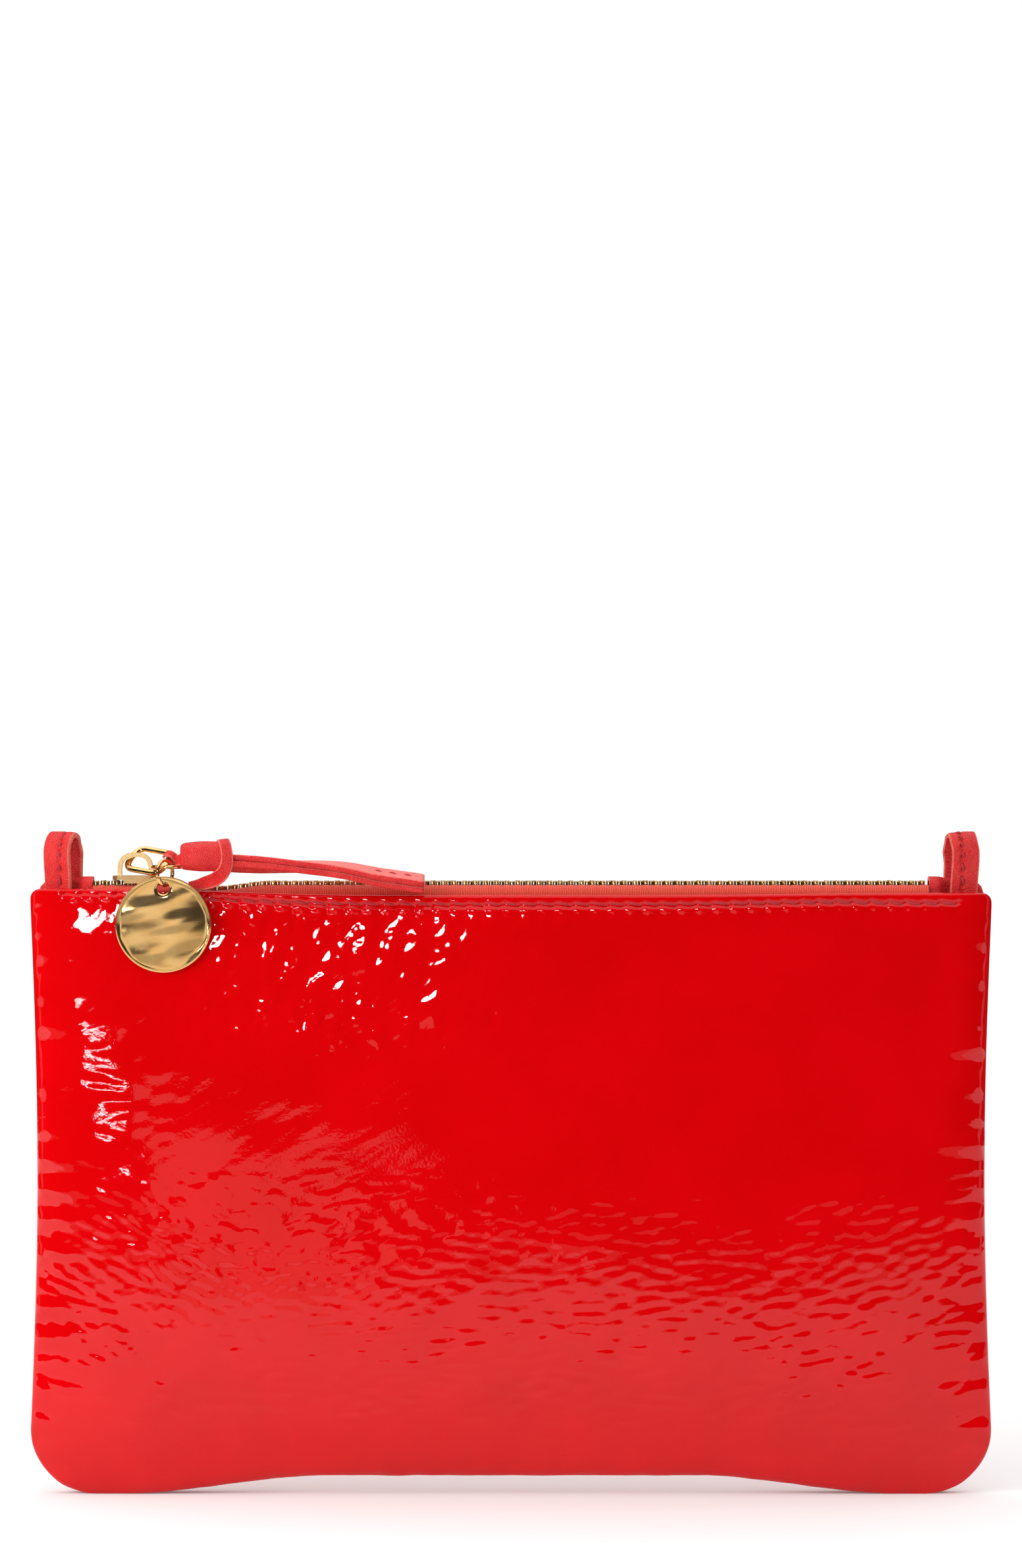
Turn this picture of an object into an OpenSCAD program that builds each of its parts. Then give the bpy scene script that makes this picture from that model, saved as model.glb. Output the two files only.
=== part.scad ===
// Slim zip pouch in crinkled patent leather: two stuffed leather panels, a lining with card
// slots, a metal zip, a leather pull with a hanging disc, and two strap loops.
// X runs along the zip, -Y is the front, +Z is up. The origin is on the standing surface,
// midway between the two ends.

/* [Body] */
// Width over the side seams
body_w = 229; // [220:1:240]
// Height of the two panels
body_h = 143; // [138:1:150]
// Thickness at the fullest point
body_t = 20.6; // [20:0.2:24]
// Thickness over the two lips of the mouth
mouth_t = 13.2; // [13:0.1:14]
// Radius of the two lower corners
corner_r = 16; // [12:1:20]
// Rise of the bottom seam between the two corners
arch_rise = 4.3; // [2:0.1:6]
// How far each side seam is drawn in at mid height
waist = 1.7; // [0:0.1:3]
// Leather thickness of a panel
leather_t = 1.3; // [1:0.1:1.4]

/* [Zip] */
// Distance between neighbouring teeth of one row
pitch = 2.54; // [2.54:0.02:2.7]
// Width of one tooth along the zip
tooth_w = 1.12; // [0.9:0.02:1.14]
// Free length of the zip between its two leather end tabs
zip_len = 198.8; // [190:0.1:199]

/* [Pull] */
// Diameter of the hanging disc
disc_d = 22.8; // [20:0.2:23]
// Thickness of the hanging disc
disc_t = 1.2; // [1:0.1:1.3]

/* [Strap loops] */
// Width of the folded band that each loop is made of
band_w = 6.6; // [6:0.1:7]
// Thickness of the folded band
band_t = 1.5; // [1.2:0.1:1.5]

/* [Hidden] */
$fn = 32;
eps = 0.01;

patent = "crimson";
calf = "indianred";
cloth = "tan";
brass = "gold";

// ---- the stuffed shape ------------------------------------------------------------------
seam_half = 2.1;      // half thickness of the turned seam at the sides and the bottom
seam_gap = 0.1;       // each panel stops this far from the plane between them
full_half = body_t / 2;
mouth_half = mouth_t / 2;
full_z = 0.44 * body_h;   // height of the fullest point
rest_x = 92;          // the bottom seam is straight and on the ground outside this
arch_run = 48;        // the bottom seam climbs to its full rise over this length
side_round = 5;       // exponent of the side roll-off at the bottom
mouth_round = 30;     // and at the mouth, where the ends are square
waist_foot = 12;      // the sides are drawn in above this height

function smooth(t) = let (c = max(0, min(1, t))) c * c * (3 - 2 * c);
function lift(x) = arch_rise * smooth((rest_x - abs(x)) / arch_run);
function corner_in(z) = z >= corner_r ? 0 : corner_r - sqrt(max(0, corner_r^2 - (corner_r - z)^2));
function waist_in(z) = z <= waist_foot ? 0 : waist * sin(180 * (z - waist_foot) / (body_h - waist_foot));
function half_w(z) = body_w / 2 - waist_in(z) - corner_in(z);
function raised(x, z) = z + lift(x) * (1 - z / body_h)^3;
function lowered(x, z) = z - lift(x) * (1 - z / body_h)^3;

// Half thickness up the middle: a quarter ellipse below the fullest point, a parabola above.
function mid_half(z) = z < full_z
    ? seam_half + (full_half - seam_half) * sqrt(1 - (1 - z / full_z)^2)
    : full_half - (full_half - mouth_half) * ((z - full_z) / (body_h - full_z))^2;
function side_power(z) = side_round + (mouth_round - side_round) * (z / body_h)^3;
function roll_off(x, z) = sqrt(max(0, 1 - min(1, abs(x) / half_w(z))^side_power(z)));
function outer_half(x, z) = seam_half + (mid_half(z) - seam_half) * roll_off(x, z);
function wall(x, z) = leather_t
    + (seam_half - seam_gap - leather_t) * max(0, 1 - (outer_half(x, z) - seam_half) / 2);
function inner_half(x, z) = outer_half(x, z) - wall(x, z);

// A closed shell between two grids of points with the same number of rows and columns.
module shell(near, far) {
    rows = len(near);
    cols = len(near[0]);
    count = rows * cols;
    function id(r, c, side) = side * count + r * cols + c;
    skin = [for (side = [0, 1], r = [0 : rows - 2], c = [0 : cols - 2])
        let (a = id(r, c, side), b = id(r, c + 1, side), d = id(r + 1, c, side), e = id(r + 1, c + 1, side))
        each side == 0 ? [[a, d, e], [a, e, b]] : [[a, e, d], [a, b, e]]];
    ring = concat([for (c = [0 : cols - 2]) [0, c]], [for (r = [0 : rows - 2]) [r, cols - 1]],
        [for (c = [cols - 1 : -1 : 1]) [rows - 1, c]], [for (r = [rows - 1 : -1 : 1]) [r, 0]]);
    rim = [for (i = [0 : len(ring) - 1])
        let (p = ring[i], q = ring[(i + 1) % len(ring)])
        each [[id(p[0], p[1], 0), id(q[0], q[1], 0), id(q[0], q[1], 1)],
              [id(p[0], p[1], 0), id(q[0], q[1], 1), id(p[0], p[1], 1)]]];
    points = concat([for (row = near, p = row) p], [for (row = far, p = row) p]);
    polyhedron(points = points, faces = concat(skin, rim), convexity = 6);
}

// Columns crowd towards the side seams and rows towards the bottom seam.
function columns(n) = [for (i = [0 : n]) sin(90 * (2 * i / n - 1))];
function levels(n, low, high) = [for (i = [0 : n]) low + (high - low) * (1 - cos(90 * i / n))];

module half_panel() {
    heights = levels(18, 0, body_h);
    across = columns(30);
    outer = [for (z = heights) [for (u = across) let (x = u * half_w(z)) [x, -outer_half(x, z), raised(x, z)]]];
    inner = [for (z = heights) [for (u = across) let (x = u * half_w(z)) [x, -inner_half(x, z), raised(x, z)]]];
    shell(outer, inner);
}

module front_panel() { color(patent) half_panel(); }
module back_panel() { color(patent) mirror([0, 1, 0]) half_panel(); }

// ---- lining and card slots --------------------------------------------------------------
lining_t = 0.5;
lining_gap = 0.2;
lining_in = 3.2;      // the lining bag is this much smaller all round
lining_top = 139.6;
function lining_half(x, z) = inner_half(x, z) - lining_gap;

module half_lining() {
    heights = levels(12, lining_in, lining_top);
    across = columns(20);
    last = len(across) - 1;
    function at(u, z) = u * (half_w(z) - lining_in);
    outer = [for (z = heights) [for (u = across) let (x = at(u, z)) [x, -lining_half(x, z), raised(x, z)]]];
    inner = [for (j = [0 : len(heights) - 1]) [for (i = [0 : last])
        let (z = heights[j], x = at(across[i], z), sewn = j == 0 || i == 0 || i == last)
        [x, sewn ? -seam_gap / 2 : lining_t - lining_half(x, z), raised(x, z)]]];
    shell(outer, inner);
}

module front_lining() { color(cloth) half_lining(); }
module back_lining() { color(cloth) mirror([0, 1, 0]) half_lining(); }

slot_x = 86;          // half width of the card slots
slot_foot = 38;
slot_t = 0.8;
slot_tops = [92, 104];

// A flat pocket sewn to the back lining, some way in from it.
module card_slot(top, inset) {
    heights = [for (i = [0 : 6]) slot_foot + (top - slot_foot) * i / 6];
    across = [for (i = [-6 : 6]) slot_x * i / 6];
    function back(x, z) = lining_half(x, z) - lining_t - inset;
    shell([for (z = heights) [for (x = across) [x, back(x, z) - slot_t, raised(x, z)]]],
          [for (z = heights) [for (x = across) [x, back(x, z), raised(x, z)]]]);
}

slot_clear = 0.1;     // between a pocket and what is behind it
function slot_front(z) = lining_half(0, z) - lining_t - 2 * (slot_clear + slot_t);

module card_slot_upper() { color(cloth) card_slot(slot_tops[1], slot_clear); }
module card_slot_lower() { color(cloth) card_slot(slot_tops[0], 2 * slot_clear + slot_t); }

// The seam that parts each pocket into two slots.
module card_slot_stitching() {
    step = 4;
    thread = 0.25;
    color(cloth) for (z = [slot_foot + 2 : step : slot_tops[0] - 2])
        translate([0, slot_front(z) - thread - 0.1, raised(0, z)])
            cylinder(r = thread, h = step - 1, center = true);
}

// ---- zip --------------------------------------------------------------------------------
chain_z = 144.7;      // height of the middle of the tape and the teeth
tape_t = 0.5;
tape_edge = 1.0;      // the tape's beaded edge, from the middle of the zip
tape_fold = 4.95;     // where the tape turns down inside the mouth
tape_foot = 141.2;
half_zip = zip_len / 2;
parted_x = -92.9;     // left of this the slider's post holds the two rows apart
part_gap = 1.05;      // each row stands this much further back there

// The front tape. Left of the point where the slider parts the rows, its edge stands back.
module tape() {
    module strip(from, to, edge) {
        translate([from, 0, 0]) rotate([90, 0, 90]) linear_extrude(to - from) polygon([
            [-edge, chain_z - tape_t / 2], [-edge, chain_z + tape_t / 2],
            [-tape_fold + tape_t / 2, chain_z + tape_t / 2], [-tape_fold, chain_z],
            [-tape_fold, tape_foot], [-tape_fold + tape_t, tape_foot],
            [-tape_fold + tape_t, chain_z - tape_t / 2]]);
    }
    color("tomato") union() {
        strip(parted_x, half_zip, tape_edge);
        strip(-half_zip, half_zip, tape_edge + part_gap);
    }
}

module zip_tape_front() { tape(); }
module zip_tape_back() { mirror([0, 1, 0]) tape(); }

tooth_back = 2.9;     // the legs end this far from the middle of the zip
tooth_head = 0.55;    // and the head reaches this far past it
tooth_half = 1.15;    // half height
slot_half = 0.3;      // half height of the slot that holds the tape

// One tooth of the front row: a head, and two legs that pinch the tape.
module tooth(x) {
    back = x < parted_x ? part_gap : 0;
    translate([x - tooth_w / 2, -tooth_back - back, chain_z - tooth_half]) difference() {
        cube([tooth_w, tooth_back + tooth_head, 2 * tooth_half]);
        translate([-eps, -eps, tooth_half - slot_half])
            cube([tooth_w + 2 * eps, tooth_back - tape_edge + 0.1, 2 * slot_half]);
    }
}

first_tooth = -98.7;
last_tooth = 98.4;
front_teeth = [for (x = [first_tooth : pitch : last_tooth]) x];
back_teeth = [for (x = front_teeth) if (x + pitch / 2 < last_tooth) x + pitch / 2];

module row(list) {
    color(brass) for (x = list) tooth(x);
}

module teeth_front() { row(front_teeth); }
module teeth_back() { mirror([0, 1, 0]) row(back_teeth); }

tab_start = 99.6;
cap_len = 2.4;        // the part folded over the end of the zip
cap_half = 3.6;
tab_top = 146.9;
tab_t = 1.0;
tab_foot = 140.4;
strip_half = 0.9;     // the rest is pressed flat and passes through the strap loop
strip_end = 112.9;

// The stops are hidden inside the leather end tabs.
module stop(x0, y0, y1) {
    color(brass) translate([x0, y0, chain_z - 0.95]) cube([cap_len - 1.2, y1 - y0, 1.9]);
}

module top_stop_front() { stop(0.8 - tab_start - cap_len, -2.4, -0.4); }
module top_stop_back() { stop(0.8 - tab_start - cap_len, 0.4, 2.4); }
module bottom_stop() { stop(tab_start + 0.4, -2.4, 2.4); }

// A strip of leather folded over the end of the zip, and pressed flat beyond it.
module end_tab() {
    bend = 1.4;
    function arch(half, top, r) = concat([[-half, tab_foot]],
        [for (a = [180 : -15 : 90]) [-half + r + r * cos(a), top - r + r * sin(a)]],
        [for (a = [90 : -15 : 0]) [half - r + r * cos(a), top - r + r * sin(a)]], [[half, tab_foot]]);
    color(calf) union() {
        translate([tab_start, 0, 0]) rotate([90, 0, 90]) linear_extrude(cap_len) difference() {
            polygon(arch(cap_half, tab_top, bend));
            translate([0, -eps]) polygon(arch(cap_half - tab_t, tab_top - tab_t, bend - tab_t + 0.2));
        }
        translate([0, strip_half, 0]) rotate([90, 0, 0]) linear_extrude(2 * strip_half) polygon(concat(
            [[tab_start + cap_len - 0.6, tab_foot], [tab_start + cap_len - 0.6, tab_top - 0.3]],
            [for (a = [75 : -15 : 0]) [strip_end - 5 + 5 * cos(a), tab_top - 4.6 + 4 * sin(a)]],
            [[strip_end - 1, tab_foot]]));
    }
}

module right_end_tab() { end_tab(); }
module left_end_tab() { mirror([1, 0, 0]) end_tab(); }

// ---- strap loops ------------------------------------------------------------------------
left_loop_x = -106.7;  // middle of each loop
right_loop_x = 107.3;
left_yaw = -20;       // each loop is turned a little towards the front
right_yaw = 12;
loop_foot = 140.2;
loop_top = 157.6;
loop_half = 4.4;      // half of the loop's depth at its widest
loop_pinch = 3.8;     // and where the two legs enter the mouth
loop_wide_z = 151.6;  // height of its widest place
pinch_z = 142.5;

thread_r = 0.3;

// Half of the drop-shaped outline, from the foot to the top, drawn in by inset.
function drop(inset) = let (half = loop_half - inset, top = loop_top - inset, pinch = loop_pinch - inset)
    concat([[pinch, loop_foot]],
        [for (t = [0 : 0.2 : 1]) [pinch + (half - pinch) * smooth(t), pinch_z + (loop_wide_z - pinch_z) * t]],
        [for (a = [15 : 15 : 90]) [half * cos(a), loop_wide_z + (top - loop_wide_z) * sin(a)]]);
function closed(path) = concat(path, [for (i = [len(path) - 2 : -1 : 0]) [-path[i][0], path[i][1]]]);

module strap_loop(x, yaw) {
    color(calf) translate([x, 0, 0]) rotate([0, 0, yaw]) rotate([90, 0, 90])
        linear_extrude(band_w, center = true) difference() {
            polygon(closed(drop(0)));
            polygon(concat([[-loop_pinch + band_t, loop_foot - 1], [loop_pinch - band_t, loop_foot - 1]],
                closed(drop(band_t))));
        }
}

module left_strap_loop() { strap_loop(left_loop_x, left_yaw); }
module right_strap_loop() { strap_loop(right_loop_x, right_yaw); }

// Short thread runs over the outside of a loop, near its raw edge.
module loop_stitching(x, yaw, side) {
    path = closed(drop(-thread_r - 0.02));
    inset = 2.4;
    color("firebrick") translate([x, 0, 0]) rotate([0, 0, yaw])
        translate([side * (band_w / 2 - inset), 0, 0])
            for (i = [2 : 2 : len(path) - 4]) let (a = path[i], b = path[i + 1], run = norm(b - a))
                translate([0, (a[0] + b[0]) / 2, (a[1] + b[1]) / 2])
                    rotate([-atan2(b[0] - a[0], b[1] - a[1]), 0, 0])
                        cylinder(r = thread_r, h = min(1.8, 0.9 * run), center = true);
}

module left_loop_stitching() { loop_stitching(left_loop_x, left_yaw, 1); }
module right_loop_stitching() { loop_stitching(right_loop_x, right_yaw, -1); }

// ---- topstitching -----------------------------------------------------------------------
stitch_step = 4.15;
stitch_z = body_h - 2;
stitch_end = 106;

module topstitch() {
    color("firebrick") for (x = [-stitch_end : stitch_step : stitch_end])
        translate([x, -outer_half(x, stitch_z) - thread_r - 0.05, stitch_z]) rotate([0, 90, 0])
            cylinder(r = thread_r, h = stitch_step - 0.9, center = true);
}

module topstitch_front() { topstitch(); }
module topstitch_back() { mirror([0, 1, 0]) topstitch(); }

// ---- slider -----------------------------------------------------------------------------
slider_x = -89.6;     // middle of the slider when the zip is closed
slider_len = 10.4;
nose_half = 4.3;
tail_half = 3.8;
nose_len = 2.6;       // the flanges start this far behind the nose
plate_low = 1.35;     // the plates start this far from the middle of the teeth
plate_t = 1.0;
flange_in = 3.1;
flange_gap = 0.55;
crown_w = 1.5;
crown_open = 4.5;
crown_t = 1.0;
crown_half = 4.2;

function slider_outline() = let (end = slider_len / 2, r = 1.6) concat(
    [for (a = [90 : 15 : 270]) [-end + r + r * cos(a), (nose_half - r) * (a < 180 ? 1 : -1) + r * sin(a)]],
    [for (a = [-90 : 15 : 90]) [end - r + r * cos(a), (tail_half - r) * (a < 0 ? -1 : 1) + r * sin(a)]]);

module slider_plate() {
    linear_extrude(plate_t) polygon(slider_outline());
    translate([0, 0, flange_gap - plate_low]) linear_extrude(plate_low - flange_gap + eps) difference() {
        polygon(slider_outline());
        square([slider_len + 1, 2 * flange_in], center = true);
        translate([-slider_len, -nose_half]) square([slider_len / 2 + nose_len, 2 * nose_half]);
    }
}

// The bridge over the top plate that holds the pull link.
module crown() {
    function hump(half, rise) = concat([[half, 0]],
        [for (a = [0 : 15 : 180]) [(half - 1) * cos(a) + (a < 90 ? 1 : a > 90 ? -1 : 0), rise * (0.35 + 0.65 * sin(a))]],
        [[-half, 0]]);
    translate([0, crown_w / 2, 0]) rotate([90, 0, 0]) linear_extrude(crown_w) difference() {
        polygon(hump(crown_half, crown_open + crown_t));
        translate([0, -eps]) polygon(hump(crown_half - crown_t, crown_open));
    }
}

module zip_slider() {
    post = [1.1, 0.9, 2 * plate_low + 2 * eps];
    color(brass) translate([slider_x, 0, chain_z]) {
        translate([0, 0, plate_low]) slider_plate();
        mirror([0, 0, 1]) translate([0, 0, plate_low]) slider_plate();
        translate([-slider_len / 2 + 0.3, -post[1] / 2, -post[2] / 2]) cube(post);
        translate([0, 0, plate_low + plate_t - eps]) crown();
    }
}

// ---- pull -------------------------------------------------------------------------------
link_x = -92;         // the bar of the link that lies under the bridge
link_z = chain_z + plate_low + plate_t + crown_open / 2;
link_roll = 42;       // how the link lies when the zip is closed
link_pitch = 8;
link_yaw = 30;
link_len = 11.5;
link_w = 8.6;
link_bar = 1.4;
link_t = 1.2;
link_low = 1.3;         // the link hangs this far below the bridge on its lower side
far_bar = link_len - link_bar;

module on_link() {
    translate([link_x, 0, link_z]) rotate([link_roll, link_pitch, -link_yaw]) children();
}

module rounded(x, y, r) {
    polygon([for (q = [0 : 3], a = [0 : 15 : 90])
        let (sx = q == 0 || q == 3 ? 1 : -1, sy = q < 2 ? 1 : -1, b = a + 90 * q)
        [sx * (x / 2 - r) + r * cos(b), sy * (y / 2 - r) + r * sin(b)]]);
}

module pull_link() {
    color(brass) on_link() translate([link_len / 2 - link_bar / 2, link_w / 2 - link_low, -link_t / 2])
        linear_extrude(link_t) difference() {
            rounded(link_len, link_w, 3);
            rounded(link_len - 2 * link_bar, link_w - 2 * link_bar, 1.2);
        }
}

eye_r = 1.9;          // the thong's eye round the far bar of the link
eye_bore = 1.25;
eye_w = 1.2;
eye_v = 5;          // its place along that bar
neck = 1.4;
knot_x = -72.6;
knot_y = -8.9;
knot_z = 151.7;
knot_r = 3.4;
knot_len = 10.6;
tail_t = 3;
// Stations of the tail: x, z, width, and how far its face is turned from lying flat.
tail_path = [[-68, 150.2, 5.6, -18], [-60, 149.8, 6.2, -14], [-50, 149.3, 6.6, 0],
    [-40, 148.5, 7, 10], [-31, 146.8, 7, 15], [-20.5, 145.3, 7, 15]];
// The turn of the strip that comes out under the knot, as x and z along its two faces.
turn_outside = [[-67.9, 149.6], [-68.3, 147.9], [-70, 146.2], [-72.6, 144.9], [-75.3, 144.2], [-76.4, 144.1]];
turn_inside = [[-76.4, 145.5], [-75.4, 145.6], [-73.2, 146.4], [-71.2, 147.6], [-69.8, 149.6]];
turn_back = -5.2;     // its rear edge, behind the disc
turn_w = 1.8;

module tail() {
    function section(s) = [for (c = [[-1, -1], [1, -1], [1, 1], [-1, 1]])
        let (w = c[0] * s[2] / 2, t = c[1] * tail_t / 2)
        [s[0], knot_y + w * cos(s[3]) - t * sin(s[3]), s[1] + w * sin(s[3]) + t * cos(s[3])]];
    n = len(tail_path);
    sides = [for (i = [0 : n - 2], k = [0 : 3]) let (a = 4 * i + k, b = 4 * i + (k + 1) % 4)
        each [[a, b + 4, b], [a, a + 4, b + 4]]];
    caps = [[0, 1, 2], [0, 2, 3], [4 * n - 4, 4 * n - 2, 4 * n - 3], [4 * n - 4, 4 * n - 1, 4 * n - 2]];
    polyhedron(points = [for (s = tail_path) each section(s)], faces = concat(sides, caps), convexity = 4);
}

module pull_thong() {
    knot_start = knot_x - knot_len / 2;
    color(calf) union() {
        difference() {
            union() {
                on_link() translate([far_bar, eye_v, 0]) rotate([90, 0, 0])
                    cylinder(r = eye_r, h = eye_w, center = true);
                hull() {
                    on_link() translate([far_bar + eye_r - 0.3, eye_v, 0]) rotate([90, 0, 0])
                        cylinder(r = 0.5, h = eye_w - 0.4, center = true);
                    translate([knot_start + 0.5, knot_y, knot_z]) rotate([0, 90, 0]) cylinder(r = neck, h = 1);
                }
            }
            on_link() translate([far_bar, eye_v, 0]) rotate([90, 0, 0])
                cylinder(r = eye_bore, h = eye_w + 1, center = true);
        }
        translate([knot_start, knot_y, knot_z]) rotate([0, 90, 0]) cylinder(r = knot_r, h = knot_len);
        translate([0, turn_back, 0]) rotate([90, 0, 0]) linear_extrude(turn_w)
            polygon(concat(turn_outside, turn_inside));
        tail();
    }
}

// Three thread runs along the end of the tail.
module pull_stitching() {
    run = 1.5;
    thread = 0.25;
    up = tail_t / 2 + thread + 0.03;
    a = tail_path[4];
    b = tail_path[5];
    color("firebrick") for (x = [-30, -26.5, -23])
        translate([x, knot_y - up * sin(a[3]), a[1] + (b[1] - a[1]) * (x - a[0]) / (b[0] - a[0]) + up * cos(a[3])])
            rotate([0, 90 + atan2(a[1] - b[1], b[0] - a[0]), 0]) cylinder(r = thread, h = run, center = true);
}

// ---- rings and disc ---------------------------------------------------------------------
wire_r = 0.45;
link_ring_r = 3.4;
link_ring_at = [-81.6, -5.4, 149.2];
disc_ring_r = 2.95;
disc_ring_at = [-81.95, -8.9, 147.9];
disc_ring_yaw = 57;
disc_x = -82.3;
disc_z = 135.6;
disc_back = -8.6;
hole_r = 1.5;
hole_drop = 2.6;      // from the top of the disc to the middle of its hole

module ring(r) {
    rotate_extrude() translate([r, 0]) circle(r = wire_r);
}

module link_ring() {
    color(brass) translate(link_ring_at) ring(link_ring_r);
}

module disc_ring() {
    color(brass) translate(disc_ring_at) rotate([0, 0, disc_ring_yaw]) rotate([90, 0, 0]) ring(disc_ring_r);
}

module hanging_disc() {
    color(brass) translate([disc_x, disc_back, disc_z]) rotate([90, 0, 0]) difference() {
        cylinder(d = disc_d, h = disc_t, $fn = 64);
        translate([0, disc_d / 2 - hole_drop, -1]) cylinder(r = hole_r, h = disc_t + 2);
    }
}

front_panel();
back_panel();
front_lining();
back_lining();
card_slot_upper();
card_slot_lower();
card_slot_stitching();
zip_tape_front();
zip_tape_back();
teeth_front();
teeth_back();
top_stop_front();
top_stop_back();
bottom_stop();
left_end_tab();
right_end_tab();
left_strap_loop();
right_strap_loop();
left_loop_stitching();
right_loop_stitching();
topstitch_front();
topstitch_back();
zip_slider();
pull_link();
pull_thong();
pull_stitching();
link_ring();
disc_ring();
hanging_disc();
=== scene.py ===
"""Looks of the zip pouch: crinkled patent leather, plain leather, woven tape and gold metal.
The shape functions repeat the CAD part's, in millimetres, and meshes are made in metres."""

import math

import bmesh
import bpy
import numpy as np
from mathutils import Matrix, Vector


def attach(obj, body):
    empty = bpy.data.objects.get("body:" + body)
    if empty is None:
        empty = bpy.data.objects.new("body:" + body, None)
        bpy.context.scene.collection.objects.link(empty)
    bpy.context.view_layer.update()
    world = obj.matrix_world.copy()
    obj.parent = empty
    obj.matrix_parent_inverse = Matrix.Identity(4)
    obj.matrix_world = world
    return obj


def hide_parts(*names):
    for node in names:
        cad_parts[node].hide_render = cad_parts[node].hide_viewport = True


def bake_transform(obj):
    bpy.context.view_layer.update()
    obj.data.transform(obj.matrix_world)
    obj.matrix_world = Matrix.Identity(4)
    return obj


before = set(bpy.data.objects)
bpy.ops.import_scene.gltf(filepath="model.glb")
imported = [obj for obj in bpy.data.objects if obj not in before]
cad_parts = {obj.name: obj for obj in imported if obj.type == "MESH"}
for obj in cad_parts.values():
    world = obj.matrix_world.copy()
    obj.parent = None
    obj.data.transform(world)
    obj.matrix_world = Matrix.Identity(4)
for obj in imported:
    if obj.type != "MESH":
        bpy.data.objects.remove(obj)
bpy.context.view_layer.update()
MM = 0.001
CUT_NEAR = 0.0003           # an open edge this near x = 0, in metres, was left by the cut there

# ---- driving sizes, in millimetres, the same as in the CAD part ---------------------------
BODY_W, BODY_H, BODY_T, MOUTH_T = 229.0, 143.0, 20.6, 13.2
CORNER_R, ARCH_RISE, WAIST = 16.0, 4.3, 1.7
SEAM_HALF, REST_X, ARCH_RUN = 2.1, 92.0, 48.0
SIDE_ROUND, MOUTH_ROUND, WAIST_FOOT = 5.0, 30.0, 12.0
FULL_Z = 0.44 * BODY_H
LEATHER_T = 1.3
ZIP_HALF, CHAIN_Z, PITCH = 99.4, 144.7, 2.54
PARTED_X, PART_GAP = -92.9, 1.05
FIRST_TOOTH, LAST_TOOTH = -98.7, 98.4
STITCH_STEP, STITCH_END = 4.15, 106.0
FOLD_R = 0.77               # the panel's leather is folded over at the mouth with this radius
TAPE_STATIONS, TAPE_RIB = 995, 0.8
DISC_AT, DISC_LEAN = (-82.3, -9.3, 135.6), -3.2

# Places at the left and right of the mouth, in metres. open_with_lip pairs each with a half but does not
# use them.
LIP_LEFT = (-0.0409, 0, 0.0942)
LIP_RIGHT = (0.0409, 0, 0.0942)


# ---- camera -------------------------------------------------------------------------------
def make_camera():
    distance, height, frame_height = 1.2, 0.1689, 0.3739
    data = bpy.data.cameras.new("camera")
    data.sensor_width = 36
    data.lens = data.sensor_width * distance / frame_height
    camera = bpy.data.objects.new("camera", data)
    camera.location = (0, -distance, height)
    camera.rotation_euler = (math.radians(90), 0, 0)
    bpy.context.scene.collection.objects.link(camera)
    bpy.context.scene.camera = camera


make_camera()


# ---- the stuffed shape --------------------------------------------------------------------
def smooth(t):
    t = np.clip(t, 0, 1)
    return t * t * (3 - 2 * t)


def lift(x):
    return ARCH_RISE * smooth((REST_X - np.abs(x)) / ARCH_RUN)


def half_w(z):
    down = np.clip(CORNER_R - z, 0, CORNER_R)
    corner = np.where(z >= CORNER_R, 0, CORNER_R - np.sqrt(CORNER_R**2 - down**2))
    drawn = WAIST * np.sin(np.pi * np.clip((z - WAIST_FOOT) / (BODY_H - WAIST_FOOT), 0, 1))
    return BODY_W / 2 - drawn - corner


def mid_half(z):
    low = SEAM_HALF + (BODY_T / 2 - SEAM_HALF) * np.sqrt(np.clip(1 - (1 - z / FULL_Z)**2, 0, 1))
    high = BODY_T / 2 - (BODY_T - MOUTH_T) / 2 * ((z - FULL_Z) / (BODY_H - FULL_Z))**2
    return np.where(z < FULL_Z, low, high)


def outer_half(x, z):
    power = SIDE_ROUND + (MOUTH_ROUND - SIDE_ROUND) * (z / BODY_H)**3
    roll = np.sqrt(np.clip(1 - np.clip(np.abs(x) / half_w(z), 0, 1)**power, 0, 1))
    return SEAM_HALF + (mid_half(z) - SEAM_HALF) * roll


def raised(x, z):
    return z + lift(x) * (1 - z / BODY_H)**3


def lip_shift(x):
    """How far the folded edge of the mouth stands above or below its CAD height."""
    return -0.45 + 1.5 * smooth((-30 - x) / 70) + 0.55 * smooth((x - 30) / 70)


def zip_dip(x):
    """The zip sinks a little just right of the hanging disc."""
    return 1.3 * smooth((x + 84.5) / 11) * smooth((-57 - x) / 14)


# ---- mesh helpers -------------------------------------------------------------------------
def mesh_object(name, points, faces, *materials, slots=None, smooth_faces=True):
    """A mesh from points in millimetres. slots gives each face's material, by number."""
    mesh = bpy.data.meshes.new(name)
    mesh.from_pydata((np.asarray(points, float) * MM).tolist(), [], [list(f) for f in faces])
    for material in materials:
        mesh.materials.append(material)
    if slots is not None:
        mesh.polygons.foreach_set("material_index", list(slots))
    mesh.polygons.foreach_set("use_smooth", [smooth_faces] * len(mesh.polygons))
    mesh.update()
    obj = bpy.data.objects.new(name, mesh)
    bpy.context.scene.collection.objects.link(obj)
    return obj


def face_outwards(obj):
    work = bmesh.new()
    work.from_mesh(obj.data)
    bmesh.ops.recalc_face_normals(work, faces=work.faces)
    work.to_mesh(obj.data)
    work.free()


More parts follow.
